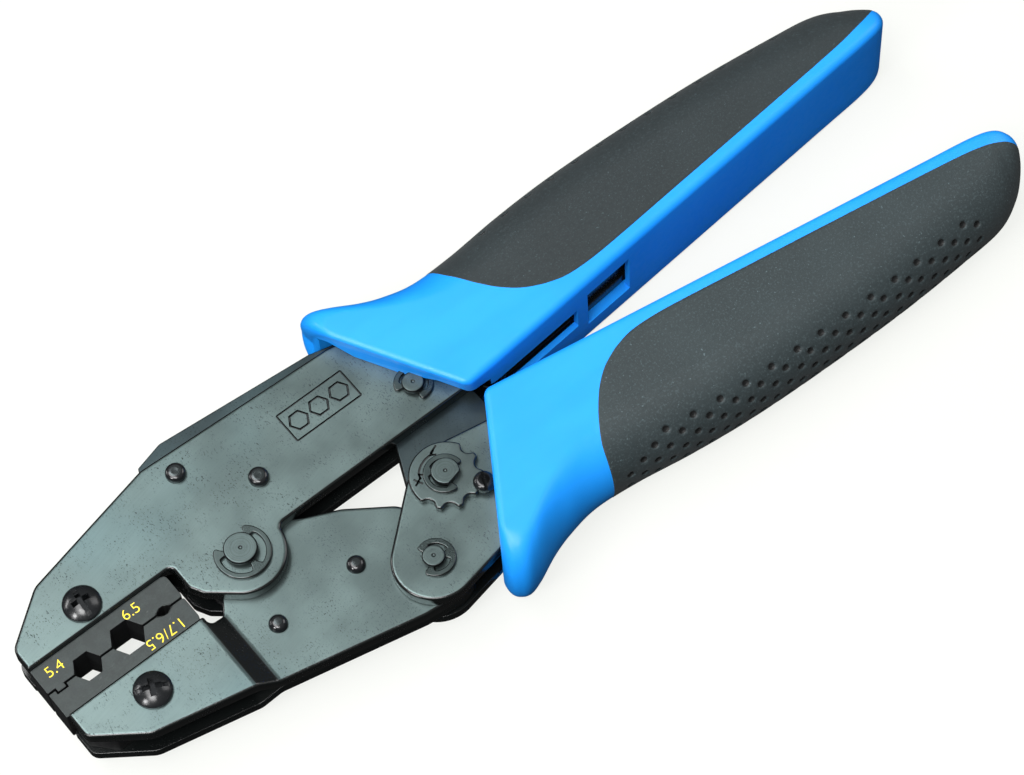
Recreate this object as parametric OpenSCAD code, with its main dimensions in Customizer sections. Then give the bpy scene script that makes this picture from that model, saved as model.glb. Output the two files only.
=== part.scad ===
// Ratchet crimping tool with interchangeable hex dies, lying on its back.
// The linkage is drawn about the main pivot, with +X towards the handles,
// +Y towards the fixed handle and z = 0 in the tool's middle plane. place()
// then moves it to the part's own origin, under the middle of the tool.

/* [Plates] */
// Thickness of every pressed steel side plate
plate_t = 2.8; // [2.6:0.1:3.0]
// Clear gap between the two frame plates
plate_gap = 5.8; // [5.8:0.1:6.2]
// Where the lower jaw's plates start to step together, behind the dies
jaw_bend_x = -14.5; // [-14.6:0.1:-14.4]

/* [Linkage] */
// Position of the pin that joins the link to the frame
link_pin_at = [48.2, 7.1]; // [0:0.1:60]
// Position of the adjuster pin that joins the handle to the link
adjuster_at = [40.5, -13.2]; // [-20:0.1:60]
// Position of the pin that joins the handle to the lower jaw
jaw_pin_at = [27.9, -25.4]; // [-30:0.1:60]
// Radius of the main pivot pin
main_pin_r = 3.4; // [3.2:0.1:3.6]
// Radius of the link pin and of the jaw pin
small_pin_r = 2.3; // [2.1:0.1:2.5]
// Radius of the adjuster pin
adjuster_pin_r = 2.9; // [2.7:0.1:3.0]
// Radial running clearance of each pin in the part that turns on it
run_fit = 0.05; // [0.02:0.01:0.08]
// Radial clearance of the link's eye round the adjuster pin
open_pivot_gap = 1.6; // [1.5:0.1:1.8]

/* [Dies] */
// Length of each die along the jaw
die_len = 32.2; // [31.8:0.1:32.4]
// Height of each die, from its seat to the parting line
die_h = 6; // [5.8:0.1:6.1]
// Thickness of each die
die_t = 9.2; // [9.0:0.1:9.6]
// Half of the gap left between the closed dies
part_gap = 0.2; // [0.15:0.05:0.25]
// Large hexagon, across its flats
large_hex = 6.48; // [6.3:0.02:6.6]
// Small hexagon, across its flats
small_hex = 5.41; // [5.2:0.01:5.6]
// Contact pin hexagon, across its flats
pin_hex = 1.72; // [1.6:0.02:1.9]

/* [Grips] */
// Half thickness of both grips
grip_half = 11.5; // [11:0.1:12]
// Thickness of the soft cover on the grips
cover_t = 2; // [1.8:0.1:2.4]
// Slope of the fixed grip
upper_angle = 5.1; // [4.9:0.1:5.4]
// Slope of the moving grip
lower_angle = -9.4; // [-9.6:0.1:-9.2]

/* [Ratchet] */
// Radius of the link's toothed sector about the adjuster pin
sector_r = 19.3; // [19.0:0.1:19.6]
// Number of ratchet teeth
teeth = 12; // [10:1:14]

/* [Hidden] */
$fn = 64;

// Origin of the finished part, seen from the main pivot
part_centre = [66.1, -1.9];

// Levels, measured from the middle plane
gap_z = plate_gap / 2;
face_z = gap_z + plate_t;
jaw_z = plate_t;
die_z = die_t / 2;
link_z = gap_z - 0.1;
seat_y = part_gap + die_h;
die_x = -46.5;
screw_x = -30.6;
upper_screw_y = 10.7;
lower_screw_y = -12.7;
screw_r = 1.9;
upper_rivets = [[0.1, 21.7], [12.2, 10.5]];
lower_rivets = [[16.1, -15.5], [-3.2, -15.8]];
frame_rivet_r = 1.6;
clip_t = 0.8;
pin_stand = 1.8;
hub_r = 9;
wheel_t = 1.6;
eccentric = 0.4;

// Where each grip's own axes start, and the grip's two ways of pointing
upper_at = [56.0, -2.3];
lower_at = [58.2, -4.8];

// A point given along a grip (u) and out from its inner side (v)
function upper(u, v) = upper_at + u * [cos(upper_angle), sin(upper_angle)]
    + v * [-sin(upper_angle), cos(upper_angle)];
function lower(u, v) = lower_at + u * [cos(lower_angle), sin(lower_angle)]
    - v * [-sin(lower_angle), cos(lower_angle)];
function upper3(p) = concat(upper(p.x, p.y), [p.z]);
function lower3(p) = concat(lower(p.x, p.y), [p.z]);

// Outline helpers: each entry is [x, y, corner radius]
function flat(p) = [p.x, p.y];
function unit(v) = v / norm(v);
function turn(a) = (a + 540) % 360 - 180;
function arc(c, r, a0, a1, n = 12) = [for (i = [0:n]) c + r * [cos(a0 + (a1 - a0) * i / n),
    sin(a0 + (a1 - a0) * i / n)]];
function fillet(b, u, w, r, n) = let(half = acos(u * w) / 2, c = b + unit(u + w) * r / sin(half),
    s = b + u * r / tan(half) - c, e = b + w * r / tan(half) - c, a = atan2(s.y, s.x),
    d = turn(atan2(e.y, e.x) - a)) arc(c, r, a, a + d, n);
function corner(a, b, c, n) = b.z == undef || b.z == 0 ? [flat(b)]
    : fillet(flat(b), unit(flat(a) - flat(b)), unit(flat(c) - flat(b)), b.z, n);
function rounded(p, n = 5) = let(k = len(p)) [for (i = [0:k - 1])
    each corner(p[(i + k - 1) % k], p[i], p[(i + 1) % k], n)];

module place() {
    translate([-part_centre.x, -part_centre.y, grip_half]) children();
}

// A flat plate of an outline between two levels
module slab(points, z0, z1) {
    translate([0, 0, z0]) linear_extrude(height = z1 - z0) polygon(points);
}

// A round bar or hole between two levels
module rod(at, r, z0, z1) {
    translate([at.x, at.y, z0]) cylinder(r = r, h = z1 - z0);
}

// Both faces of the tool, the second one turned over
module both_faces() {
    children();
    mirror([0, 0, 1]) children();
}

/* ---------- outlines ---------- */

// Head of the frame, with its throat, pivot boss and tang
frame_outline = rounded(concat(
    [[die_x - 0.1, seat_y, 0.6], [die_x - 0.1, 11.4, 3], [-35.6, 19.8, 5], [-5, 26.9, 4]],
    [[39.6, 24.9, 8]], [upper3([14, 21, 12]), upper3([78, 14.5, 3]), upper3([78, 2, 3])],
    [upper3([33, 1.8, 12]), upper3([3, 2.1, 12]), [9.9, 0.1, 1.6]],
    arc([0, 0], 9.1, -5, -125), [[-10.9, -2.6, 2.5], [-12.5, 0.4, 2], [-12.5, seat_y, 1.2]]));

// Filler between the frame plates
spacer_outline = rounded(concat(
    [[-12, 16, 1], [-12, 22.5, 1], [-6, 25.6, 1], [-4.4, 28.9, 0.5], [2, 30.6, 2], [37, 27.5, 4]],
    [upper3([14, 20.5, 12]), upper3([77, 14, 3]), upper3([77, 2.6, 3]), upper3([31.2, 2.4, 1])],
    [upper3([30, 14, 4]), [52, 15.6, 4], [38, 15.6, 6], [21, 12, 3], [15.5, 6.4, 2.5]],
    [[9.5, 8, 2], [0, 12, 8], [-8, 10.5, 2]]));

// Lower jaw, seen from the front
jaw_outline = rounded(concat(
    [[die_x + 0.4, -seat_y, 0.6], [die_x + 0.4, -12.3, 2.5], [-36, -19.8, 5], [20.3, -32.6, 8]],
    arc(jaw_pin_at, 8, -95, 45), [[32.6, -15, 3], [30.3, -10.5, 5], [21.3, -3.9, 8], [14.5, -0.6, 5]],
    arc([0, 0], hub_r, 20, 205), [[-10.5, -7.6, 1], [-13.9, -seat_y - 2.2, 1], [-13.9, -seat_y, 0.4]]));

// Side view of one jaw plate: two flat lengths joined by the joggle
jaw_profile = rounded([[die_x - 5, gap_z], [jaw_bend_x, gap_z, 2], [jaw_bend_x + 4.3, 0, 2], [60, 0],
    [60, jaw_z], [jaw_bend_x + 4.3, jaw_z, 2], [jaw_bend_x, face_z, 2], [die_x - 5, face_z]], 4);

// Moving handle's side plate and tang
handle_outline = rounded(concat(
    [lower3([78, 6, 3]), lower3([30, 4.6, 10]), lower3([-18.4, 3.5, 8]), lower3([-23.4, 8.2, 6])],
    [for (a = [217:-12:73]) lower(-26.5 + 8.6 * cos(a), 25.3 + 8.6 * sin(a))],
    [lower3([-4, 26.2, 6]), lower3([16, 21, 12]), lower3([78, 14.5, 3])]));

// Toggle link with the blank of its toothed sector
link_outline = rounded(concat(
    arc(link_pin_at, 6.5, 160, -20), [[57.6, 0, 3]],
    arc(adjuster_at, sector_r, 27, -32, 24), [[47.5, -20.2, 3]],
    arc(adjuster_at, 7.7, -75, -200)));

/* ---------- hardware ---------- */

// Retaining clip that opens towards angle a, on a pin of radius r. Its ring is set back by
// shift from the pin, and three fingers reach into the pin's groove.
module e_clip(at, r, outer, a, z0, shift = 0.3, t = clip_t) {
    inner = r - 0.68;
    ring = outer - 1.4;
    translate([at.x, at.y, z0]) rotate([0, 0, a]) difference() {
        union() {
            translate([-shift, 0, 0]) difference() {
                cylinder(r = outer, h = t);
                translate([0, 0, -1]) cylinder(r = ring, h = t + 2);
            }
            intersection() {
                for (b = [72, 180, 288]) rotate([0, 0, b]) translate([0, -0.9, 0])
                    cube([outer, 1.8, t]);
                translate([-shift, 0, 0]) cylinder(r = ring + 0.3, h = t);
            }
        }
        translate([0, 0, -1]) cylinder(r = inner, h = t + 2);
        translate([0, 0, -1]) linear_extrude(height = t + 2)
            polygon([[0, 0], 3 * outer * [cos(44), sin(44)], 3 * outer * [1, 0],
                3 * outer * [cos(44), -sin(44)]]);
    }
}

// Turned pin with a clip groove and a centre dimple at each end
module clip_pin(at, r, top, groove_z) {
    difference() {
        rod(at, r, -top, top);
        for (s = [-1, 1]) translate([at.x, at.y, s * (groove_z + clip_t / 2)]) difference() {
            translate([0, 0, -clip_t / 2 - 0.03]) cylinder(r = r + 1, h = clip_t + 0.06);
            translate([0, 0, -clip_t]) cylinder(r = r - 0.72, h = 2 * clip_t);
        }
        for (s = [-1, 1]) translate([at.x, at.y, s * top]) sphere(r = 0.45);
    }
}

// Profile of a button rivet's head, from its axis outwards
function button(r, h, e) = concat([[0, 0], [r, 0]], [for (a = [0:18:90])
    [r - e + e * cos(a), h - e + e * sin(a)]], [[0, h]]);

// Rivet through a stack that is 2 * half thick
module rivet(at, shank, r, h, half, e) {
    rod(at, shank, -half, half);
    both_faces() translate([at.x, at.y, half]) rotate_extrude() polygon(button(r, h, e));
}

// Pan head with a slot and a cross recess; the bottom is flush with the back plate
module die_screw(at, slot_angle) {
    head_r = 3.9;
    head_h = 2.3;
    dome_r = 5.6;
    difference() {
        union() {
            rod(at, screw_r, -face_z, face_z + 0.1);
            translate([at.x, at.y, face_z]) intersection() {
                cylinder(r = head_r, h = head_h);
                translate([0, 0, head_h - dome_r]) sphere(r = dome_r);
            }
        }
        translate([at.x, at.y, face_z + head_h]) rotate([0, 0, slot_angle]) {
            translate([-head_r - 1, -0.45, -1.05]) cube([2 * head_r + 2, 0.9, 3]);
            translate([-1.9, -0.55, -1.9]) cube([3.8, 1.1, 3]);
            translate([-0.55, -1.9, -1.9]) cube([1.1, 3.8, 3]);
        }
    }
}

/* ---------- frame ---------- */

module frame_plate_solid() {
    difference() {
        slab(frame_outline, gap_z, face_z);
        rod([0, 0], main_pin_r + 0.02, gap_z - 1, face_z + 1);
        rod(link_pin_at, small_pin_r + 0.02, gap_z - 1, face_z + 1);
        for (p = upper_rivets) rod(p, frame_rivet_r + 0.02, gap_z - 1, face_z + 1);
        for (u = [44, 70]) rod(upper(u, 10), 1.52, gap_z - 1, face_z + 1);
        rod(upper(27, 8.5), 1.22, gap_z - 1, face_z + 1);
        rod([screw_x, upper_screw_y], screw_r + 0.02, gap_z - 1, face_z + 1);
    }
}

// Sunk badge: a framed row of three hexagons
module badge() {
    badge_w = 17;
    badge_h = 7.6;
    sink = 0.25;
    line_w = 0.35;
    translate([31, 15.6, face_z - sink]) linear_extrude(height = 1) {
        difference() {
            square([badge_w, badge_h], center = true);
            square([badge_w - 2 * line_w, badge_h - 2 * line_w], center = true);
        }
        for (x = [-5, 0, 5]) translate([x, 0]) difference() {
            circle(r = 2.3, $fn = 6);
            circle(r = 1.8, $fn = 6);
        }
    }
}

module frame_plate_front() {
    place() color("#39454a") difference() {
        frame_plate_solid();
        badge();
    }
}

module frame_plate_back() {
    place() color("#39454a") mirror([0, 0, 1]) frame_plate_solid();
}

module frame_spacer() {
    place() color("#2c3336") difference() {
        slab(spacer_outline, -gap_z, gap_z);
        for (p = upper_rivets) rod(p, frame_rivet_r + 0.02, -gap_z - 1, gap_z + 1);
        for (u = [44, 70]) rod(upper(u, 10), 1.52, -gap_z - 1, gap_z + 1);
    }
}

module frame_rivets() {
    place() color("#1f2426") for (p = upper_rivets) rivet(p, frame_rivet_r, 2.1, 1.6, face_z, 0.7);
}

// Plain rivets that hold the tang inside the fixed grip
module tang_rivets() {
    place() color("#1f2426") for (u = [44, 70]) rod(upper(u, 10), 1.5, -face_z, face_z);
}

/* ---------- dies ---------- */

// Half of a hexagonal crimp cavity, for an upper die
module hex_cut(x, flats) {
    translate([x, 0, -die_t]) linear_extrude(height = 2 * die_t)
        circle(r = flats / sqrt(3), $fn = 6);
}

// Upper die before its register; the lower one is the same turned over
module die_blank(screw_y, tongue_h) {
    difference() {
        union() {
            slab(rounded([[die_x, part_gap, 0.5], [die_x + die_len, part_gap, 0.8],
                [die_x + die_len, seat_y, 1.2], [die_x, seat_y, 0.3]]), -die_z, die_z);
            slab([[die_x + 1, seat_y - 1], [die_x + die_len - 1.2, seat_y - 1],
                [die_x + die_len - 1.2, seat_y + tongue_h], [die_x + 5, seat_y + tongue_h],
                [die_x + 1, seat_y + 4.5]], -gap_z + 0.05, gap_z - 0.05);
        }
        rod([screw_x, screw_y], screw_r + 0.1, -die_t, die_t);
        hex_cut(-27.6, large_hex);
        hex_cut(-37.1, small_hex);
        hex_cut(-19, pin_hex);
        translate([-20.4, part_gap - 1, -die_t]) cube([2.8, 1.35, 2 * die_t]);
    }
}

module upper_die() {
    place() color("#303335") {
        die_blank(upper_screw_y, 8);
        slab([[-44.6, -0.75], [-42.7, -0.75], [-42.7, 1.5], [-44.6, 1.5]], -die_z, die_z);
    }
}

module lower_die() {
    place() color("#303335") difference() {
        mirror([0, 1, 0]) die_blank(-lower_screw_y, 9);
        slab([[-44.95, -1.1], [-42.35, -1.1], [-42.35, 1], [-44.95, 1]], -die_t, die_t);
    }
}

module upper_die_screw() {
    place() color("#181b1d") die_screw([screw_x, upper_screw_y], 93);
}

module lower_die_screw() {
    place() color("#181b1d") die_screw([screw_x, lower_screw_y], -25);
}

/* ---------- frame pins ---------- */

module main_pivot_pin() {
    place() color("#4a5053") clip_pin([0, 0], main_pin_r, face_z + pin_stand, face_z);
}

module main_pivot_clips() {
    place() color("#2b2f31") both_faces() e_clip([0, 0], main_pin_r, 5.8, 95, face_z, 0.5);
}

module link_pin() {
    place() color("#4a5053") clip_pin(link_pin_at, small_pin_r, face_z + pin_stand, face_z);
}

module link_pin_clips() {
    place() color("#2b2f31") both_faces() e_clip(link_pin_at, small_pin_r, 4.05, 213, face_z);
}

/* ---------- opening spring ---------- */

spring_hook_at = [54.6, -2.2];
spring_end_at = upper(27, 8.5);

// Solid swept along a list of points, with k sides and radius r
function ring_axis(p, i) = unit(p[min(i + 1, len(p) - 1)] - p[max(i - 1, 0)]);
function ring_side(t) = unit(cross(t, abs(t.z) < 0.9 ? [0, 0, 1] : [1, 0, 0]));
module sweep(p, r, k = 8) {
    n = len(p);
    points = [for (i = [0:n - 1]) let(t = ring_axis(p, i), s = ring_side(t), w = cross(t, s))
        for (j = [0:k - 1]) p[i] + r * (cos(j * 360 / k) * s + sin(j * 360 / k) * w)];
    sides = [for (i = [0:n - 2], j = [0:k - 1]) [i * k + j, i * k + (j + 1) % k,
        (i + 1) * k + (j + 1) % k, (i + 1) * k + j]];
    polyhedron(points, concat(sides, [[for (j = [k - 1:-1:0]) j]],
        [[for (j = [0:k - 1]) (n - 1) * k + j]]), convexity = 6);
}

// Close-coiled spring between two points at mid height, with straight ends
module coil_spring(a, b, coil_r, wire_r, turns, tail) {
    axis = unit(b - a);
    side = [-axis.y, axis.x];
    run = norm(b - a) - 2 * tail;
    steps = turns * 12;
    at = function(t, q) concat(a + axis * (tail + run * t) + side * coil_r * cos(q), coil_r * sin(q));
    sweep(concat([concat(a, 0), concat(a + axis * (tail - 0.6), 0)],
        [for (i = [0:steps]) at(i / steps, 360 * turns * i / steps + 90)],
        [concat(b - axis * (tail - 0.6), 0), concat(b, 0)]), wire_r, 6);
}

module spring_post() {
    place() color("#4a5053") rod(spring_end_at, 1.2, -face_z, face_z);
}

module opening_spring() {
    place() color("#6a6f72") coil_spring(spring_hook_at + [3.6, 0.9], spring_end_at - [1.9, 0.3],
        1.9, 0.35, 13, 2);
}

/* ---------- grips ---------- */

// Inner and outer edge of the grip at stations along it: [u, v] pairs
grip_inner = [[-1.2, 0], [0, 0], [1.6, 0], [4, 0], [8, 0], [12, 0], [18, 0], [26, 0], [36, 0],
    [48, 0], [64, 0], [84, 0], [102, 0], [113, 0], [118.6, 0.6], [121.4, 2.2], [122.6, 4.6]];
grip_outer = [[-16, 33.8], [-14.9, 36.6], [-12.4, 37.7], [-9.2, 36.4], [-4, 33], [1, 30.6], [8, 28.4],
    [18, 27.6], [31, 27.6], [45, 26.9], [62, 25], [83, 21.9], [102, 18.1], [113.5, 15],
    [119, 10.8], [121.9, 7.6], [122.7, 5.6]];

// Smooth curve through a list of points, at parameter t from 0 to len - 1
function knot(p, i) = p[max(0, min(len(p) - 1, i))];
function spline(p, t) = let(i = min(floor(t), len(p) - 2), f = t - i, a = knot(p, i - 1),
    b = knot(p, i), c = knot(p, i + 1), d = knot(p, i + 2))
    b + 0.5 * f * (c - a + f * (2 * a - 5 * b + 4 * c - d + f * (3 * (b - c) + d - a)));

// How far in the outer edge's round reaches: little on the guard, all of the half thickness later
function ease(x) = let(k = max(0, min(1, x))) k * k * (3 - 2 * k);
function outer_round(t) = 5.5 + (grip_half - 5.5) * ease((t - 2.5) / 4);

// Half of a grip's section: distance across it and height, from inner to outer edge
function half_section(w, h, o, n = 7) = let(e = min(1.7, w / 4), m = min(h, o, w - e - 0.05)) concat(
    [for (i = [0:3]) [e - e * cos(i * 30), h - e + e * sin(i * 30)]],
    [for (i = [0:n]) [w - m + m * sin(i * 90 / n), h * cos(i * 90 / n)]]);
function section(w, h, o) = let(s = half_section(w, h, o), k = len(s)) concat(s,
    [for (i = [k - 2:-1:0]) [s[i].x, -s[i].y]]);

// Solid grip, shrunk by skin all round
module grip_solid(skin = 0) {
    last = len(grip_inner) - 1;
    steps = 2 * last;
    rings = [for (i = [0:steps]) let(t = i * last / steps, a = spline(grip_inner, t),
        b = spline(grip_outer, t), d = unit(b - a), w = norm(b - a) - 2 * skin,
        end = max(0, i - steps + 6) / 6, h = (grip_half - skin) * sqrt(1 - 0.55 * end * end))
        [for (s = section(max(w, 1), h, outer_round(t))) concat(a + d * (s.x + skin), s.y)]];
    k = len(rings[0]);
    polyhedron([for (r = rings) each r], concat(
        [for (i = [0:steps - 1], j = [0:k - 1]) [i * k + j, i * k + (j + 1) % k,
            (i + 1) * k + (j + 1) % k, (i + 1) * k + j]],
        [[for (j = [k - 1:-1:0]) j]], [[for (j = [0:k - 1]) steps * k + j]]), convexity = 6);
}

// Plan of the soft cover on a grip
cover_plan = rounded([[12, 40], [12, 26.5, 6], [14.5, 17.5, 12], [21, 7.5, 14], [34, 2.9, 20],
    [112, 2.9, 20], [119, 4.2, 10], [130, 6.5], [130, 40]]);

module cover_solid() {
    difference() {
        intersection() {
            grip_solid();
            slab(cover_plan, -grip_half - 1, grip_half + 1);
        }
        grip_solid(cover_t);
    }
}

// Hollow of a grip: the tang's pocket, then on the inner side the link's way in, which ends
// at u = end and is 2 * half high, and a window. Both reach v = deep.
module grip_hollow(tang, end, deep, half) {
    slab(tang, -face_z - 0.15, face_z + 0.15);
    translate([-30, -6, -half]) cube([30 + end, 6 + deep, 2 * half]);
    translate([31.7, -4, -6]) cube([11.8, 4 + deep, 12]);
}

module shell_solid(tang, end, deep, half) {
    difference() {
        grip_solid();
        cover_solid();
        grip_hollow(tang, end, deep, half);
    }
}

tang_pocket_upper = [[-30, -6], [2, -3], [6, 1.3], [79, 1.3], [79, 15.2], [45, 18.4], [14, 22.6],
    [-4, 29.2], [-30, 36]];
tang_pocket_lower = [[-40, -6], [26, -3], [27, 4], [79, 5.4], [79, 15.2], [16, 22], [-3, 27],
    [-40, 40]];

module as_upper() {
    translate(concat(upper_at, 0)) rotate([0, 0, upper_angle]) children();
}

module as_lower() {
    translate(concat(lower_at, 0)) rotate([0, 0, lower_angle]) mirror([0, 1, 0]) children();
}

module upper_grip_shell() {
    place() color("#2f9df0") difference() {
        as_upper() shell_solid(tang_pocket_upper, 28.9, 3, 3.3);
        rod(link_pin_at, 4.7, -face_z - pin_stand - 0.3, face_z + pin_stand + 0.3);
    }
}

module upper_grip_cover() {
    place() color("#33383a") as_upper() cover_solid();
}

module lower_grip_shell() {
    place() color("#2f9df0") difference() {
        as_lower() shell_solid(tang_pocket_lower, 27, 5.5, 7);
        rod(lock_at, 2.7, 0, face_z + wheel_t + 1.9);
    }
}

module lower_grip_cover() {
    place() color("#33383a") as_lower() cover_solid();
}

/* ---------- lower jaw ---------- */

module jaw_plate_solid() {
    difference() {
        intersection() {
            slab(jaw_outline, -1, face_z + 1);
            translate([0, 40, 0]) rotate([90, 0, 0]) linear_extrude(height = 90) polygon(jaw_profile);
        }
        rod([0, 0], main_pin_r + run_fit, -1, face_z + 1);
        rod(jaw_pin_at, small_pin_r + run_fit, -1, face_z + 1);
        for (p = lower_rivets) rod(p, frame_rivet_r + 0.02, -1, face_z + 1);
        rod([screw_x, lower_screw_y], screw_r + 0.02, -1, face_z + 1);
    }
}

module jaw_plate_front() {
    place() color("#39454a") jaw_plate_solid();
}

module jaw_plate_back() {
    place() color("#39454a") mirror([0, 0, 1]) jaw_plate_solid();
}

module jaw_rivets() {
    place() color("#1f2426") for (p = lower_rivets) rivet(p, frame_rivet_r, 1.95, 1.2, jaw_z, 0.9);
}

/* ---------- toggle link ---------- */

tooth_pitch = 55 / teeth;
tooth_h = 1.5;

module toggle_link() {
    place() color("#3a4144") difference() {
        slab(link_outline, -link_z, link_z);
        rod(link_pin_at, small_pin_r + run_fit, -gap_z, gap_z);
        rod(adjuster_at, adjuster_pin_r + open_pivot_gap, -gap_z, gap_z);
        for (i = [0:teeth]) translate(concat(adjuster_at, -gap_z))
            rotate([0, 0, -30 + i * tooth_pitch]) linear_extrude(height = plate_gap)
                polygon([[sector_r - tooth_h, 0], [sector_r + 1, 1.1], [sector_r + 1, -1.1]]);
        rod(spring_hook_at, 0.9, -gap_z, gap_z);
    }
}

/* ---------- moving handle ---------- */

handle_rivet_spots = [for (u = [42, 70]) lower(u, 10.4)];
pawl_at = lower(11.6, 13);
lock_at = adjuster_at + 7.8 * [cos(-53), sin(-53)];

module handle_plate_solid() {
    difference() {
        slab(handle_outline, gap_z, face_z);
        rod(jaw_pin_at, small_pin_r + 0.02, gap_z - 1, face_z + 1);
        rod(adjuster_at, adjuster_pin_r + 0.02, gap_z - 1, face_z + 1);
        rod(pawl_at, 1.52, gap_z - 1, face_z + 1);
        for (p = handle_rivet_spots) rod(p, 1.52, gap_z - 1, face_z + 1);
    }
}

module handle_plate_front() {
    place() color("#39454a") difference() {
        handle_plate_solid();
        rod(lock_at, 1.25, gap_z - 1, face_z + 1);
    }
}

module handle_plate_back() {
    place() color("#39454a") mirror([0, 0, 1]) handle_plate_solid();
}

handle_spacer_outline = rounded([lower3([34, 6.5, 3]), lower3([77, 6.8, 3]), lower3([77, 14, 3]),
    lower3([34, 17.5, 3])]);

module handle_spacer() {
    place() color("#2c3336") difference() {
        slab(handle_spacer_outline, -gap_z, gap_z);
        for (p = handle_rivet_spots) rod(p, 1.52, -gap_z - 1, gap_z + 1);
    }
}

module handle_rivets() {
    place() color("#1f2426") for (p = handle_rivet_spots) rod(p, 1.5, -face_z, face_z);
}

module jaw_pin() {
    place() color("#4a5053") clip_pin(jaw_pin_at, small_pin_r, face_z + pin_stand, face_z);
}

module jaw_pin_clips() {
    place() color("#2b2f31") both_faces() e_clip(jaw_pin_at, small_pin_r, 4.1, 158, face_z);
}

/* ---------- adjuster ---------- */

// Eccentric pin with a flat on its front end
module adjuster_pin() {
    top = face_z + wheel_t + 1.9;
    groove = face_z + wheel_t;
    place() color("#4a5053") difference() {
        union() {
            rod(adjuster_at, adjuster_pin_r, -face_z - pin_stand, -gap_z);
            rod(adjuster_at - eccentric * unit([1, 1]), adjuster_pin_r - eccentric - 0.1, -gap_z - 1,
                gap_z + 1);
            rod(adjuster_at, adjuster_pin_r, gap_z, top);
        }
        translate(concat(adjuster_at, top)) sphere(r = 0.4);
        translate(concat(adjuster_at, 0)) for (z = [groove, -face_z - clip_t]) translate([0, 0, z - 0.03])
            difference() {
                cylinder(r = adjuster_pin_r + 1, h = clip_t + 0.06);
                translate([0, 0, -1]) cylinder(r = adjuster_pin_r - 0.72, h = clip_t + 2);
            }
        translate(concat(adjuster_at, groove + clip_t + 0.03)) rotate([0, 0, -77])
            translate([0.75 * adjuster_pin_r, -4, 0]) cube([4, 8, 4]);
    }
}

wheel_r = 7.4;
notch_pitch = 34.4;

// Star wheel: plain on one side, six round notches on the other
module adjuster_wheel() {
    groove = face_z + wheel_t;
    place() color("#343c3f") translate(concat(adjuster_at, face_z)) difference() {
        cylinder(r = wheel_r, h = wheel_t);
        translate([0, 0, -1]) cylinder(r = adjuster_pin_r + 0.02, h = wheel_t + 2);
        for (i = [0:5]) rotate([0, 0, -156 + i * notch_pitch])
            translate([wheel_r + 0.35, 0, -1]) cylinder(r = 1.65, h = wheel_t + 2);
        translate([0, 0, wheel_t - 0.2]) {
            for (b = [0, 90]) rotate([0, 0, 165]) translate([5.5, 0, 0.5]) rotate([0, 0, b])
                cube([2.2, 0.35, 1], center = true);
            rotate([0, 0, 78]) translate([6, 0, 0.5]) rotate([0, 0, 80]) cube([2, 0.35, 1], center = true);
            difference() {
                cylinder(r = 5.6, h = 1);
                translate([0, 0, -1]) cylinder(r = 5.25, h = 3);
                rotate([0, 0, 90]) translate([-10, -10, -1]) cube([20, 10, 3]);
                rotate([0, 0, 148]) translate([-10, 0, -1]) cube([20, 10, 3]);
            }
        }
    }
}

module adjuster_clips() {
    place() color("#2b2f31") {
        e_clip(adjuster_at, adjuster_pin_r, 4.3, -45, face_z + wheel_t, 0.2);
        e_clip(adjuster_at, adjuster_pin_r, 4.8, -45, -face_z - clip_t, 0.2);
    }
}

module adjuster_lock_screw() {
    head_r = 2.2;
    head_z = face_z + wheel_t;
    place() color("#181b1d") difference() {
        union() {
            rod(lock_at, 1.2, gap_z + 0.2, head_z + 0.1);
            translate([lock_at.x, lock_at.y, head_z]) intersection() {
                cylinder(r = head_r, h = 1.7);
                translate([0, 0, -0.9]) sphere(r = 2.6);
            }
        }
        translate([lock_at.x, lock_at.y, head_z + 0.8]) rotate([0, 0, 65])
            translate([-3, -0.3, 0]) cube([6, 0.6, 3]);
    }
}

/* ---------- ratchet ---------- */

module pawl_pin() {
    place() color("#4a5053") rod(pawl_at, 1.5, -face_z, face_z);
}

pawl_tip = adjuster_at + (sector_r + 1.7) * unit(pawl_at - adjuster_at);

module ratchet_pawl() {
    axis = unit(pawl_tip - pawl_at);
    side = [-axis.y, axis.x];
    outline = rounded(concat([for (p = [pawl_at + 3.2 * side + 0.6 * axis, pawl_at - 2.6 * axis
        + 3 * side, pawl_at - 5.5 * axis + 1 * side, pawl_at - 5.5 * axis - 1 * side, pawl_at
        - 2.6 * axis - 3 * side, pawl_at - 3.2 * side + 0.6 * axis]) concat(p, [0.5])],
        [concat(pawl_tip, [0.3])]));
    place() color("#3a4144") difference() {
        slab(outline, -link_z + 0.2, link_z - 0.2);
        rod(pawl_at, 1.5 + run_fit, -gap_z, gap_z);
    }
}

module pawl_spring() {
    start = pawl_at + 6.6 * unit(pawl_at - pawl_tip);
    place() color("#6a6f72") coil_spring(start, lower(33.2, 12.6), 1.5, 0.3, 8, 1.2);
}

frame_plate_front();
frame_plate_back();
frame_spacer();
frame_rivets();
tang_rivets();
upper_die();
upper_die_screw();
main_pivot_pin();
main_pivot_clips();
link_pin();
link_pin_clips();
spring_post();
opening_spring();
upper_grip_shell();
upper_grip_cover();
jaw_plate_front();
jaw_plate_back();
jaw_rivets();
lower_die();
lower_die_screw();
toggle_link();
handle_plate_front();
handle_plate_back();
handle_spacer();
handle_rivets();
jaw_pin();
jaw_pin_clips();
adjuster_pin();
adjuster_wheel();
adjuster_clips();
adjuster_lock_screw();
pawl_pin();
ratchet_pawl();
pawl_spring();
lower_grip_shell();
lower_grip_cover();
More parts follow.
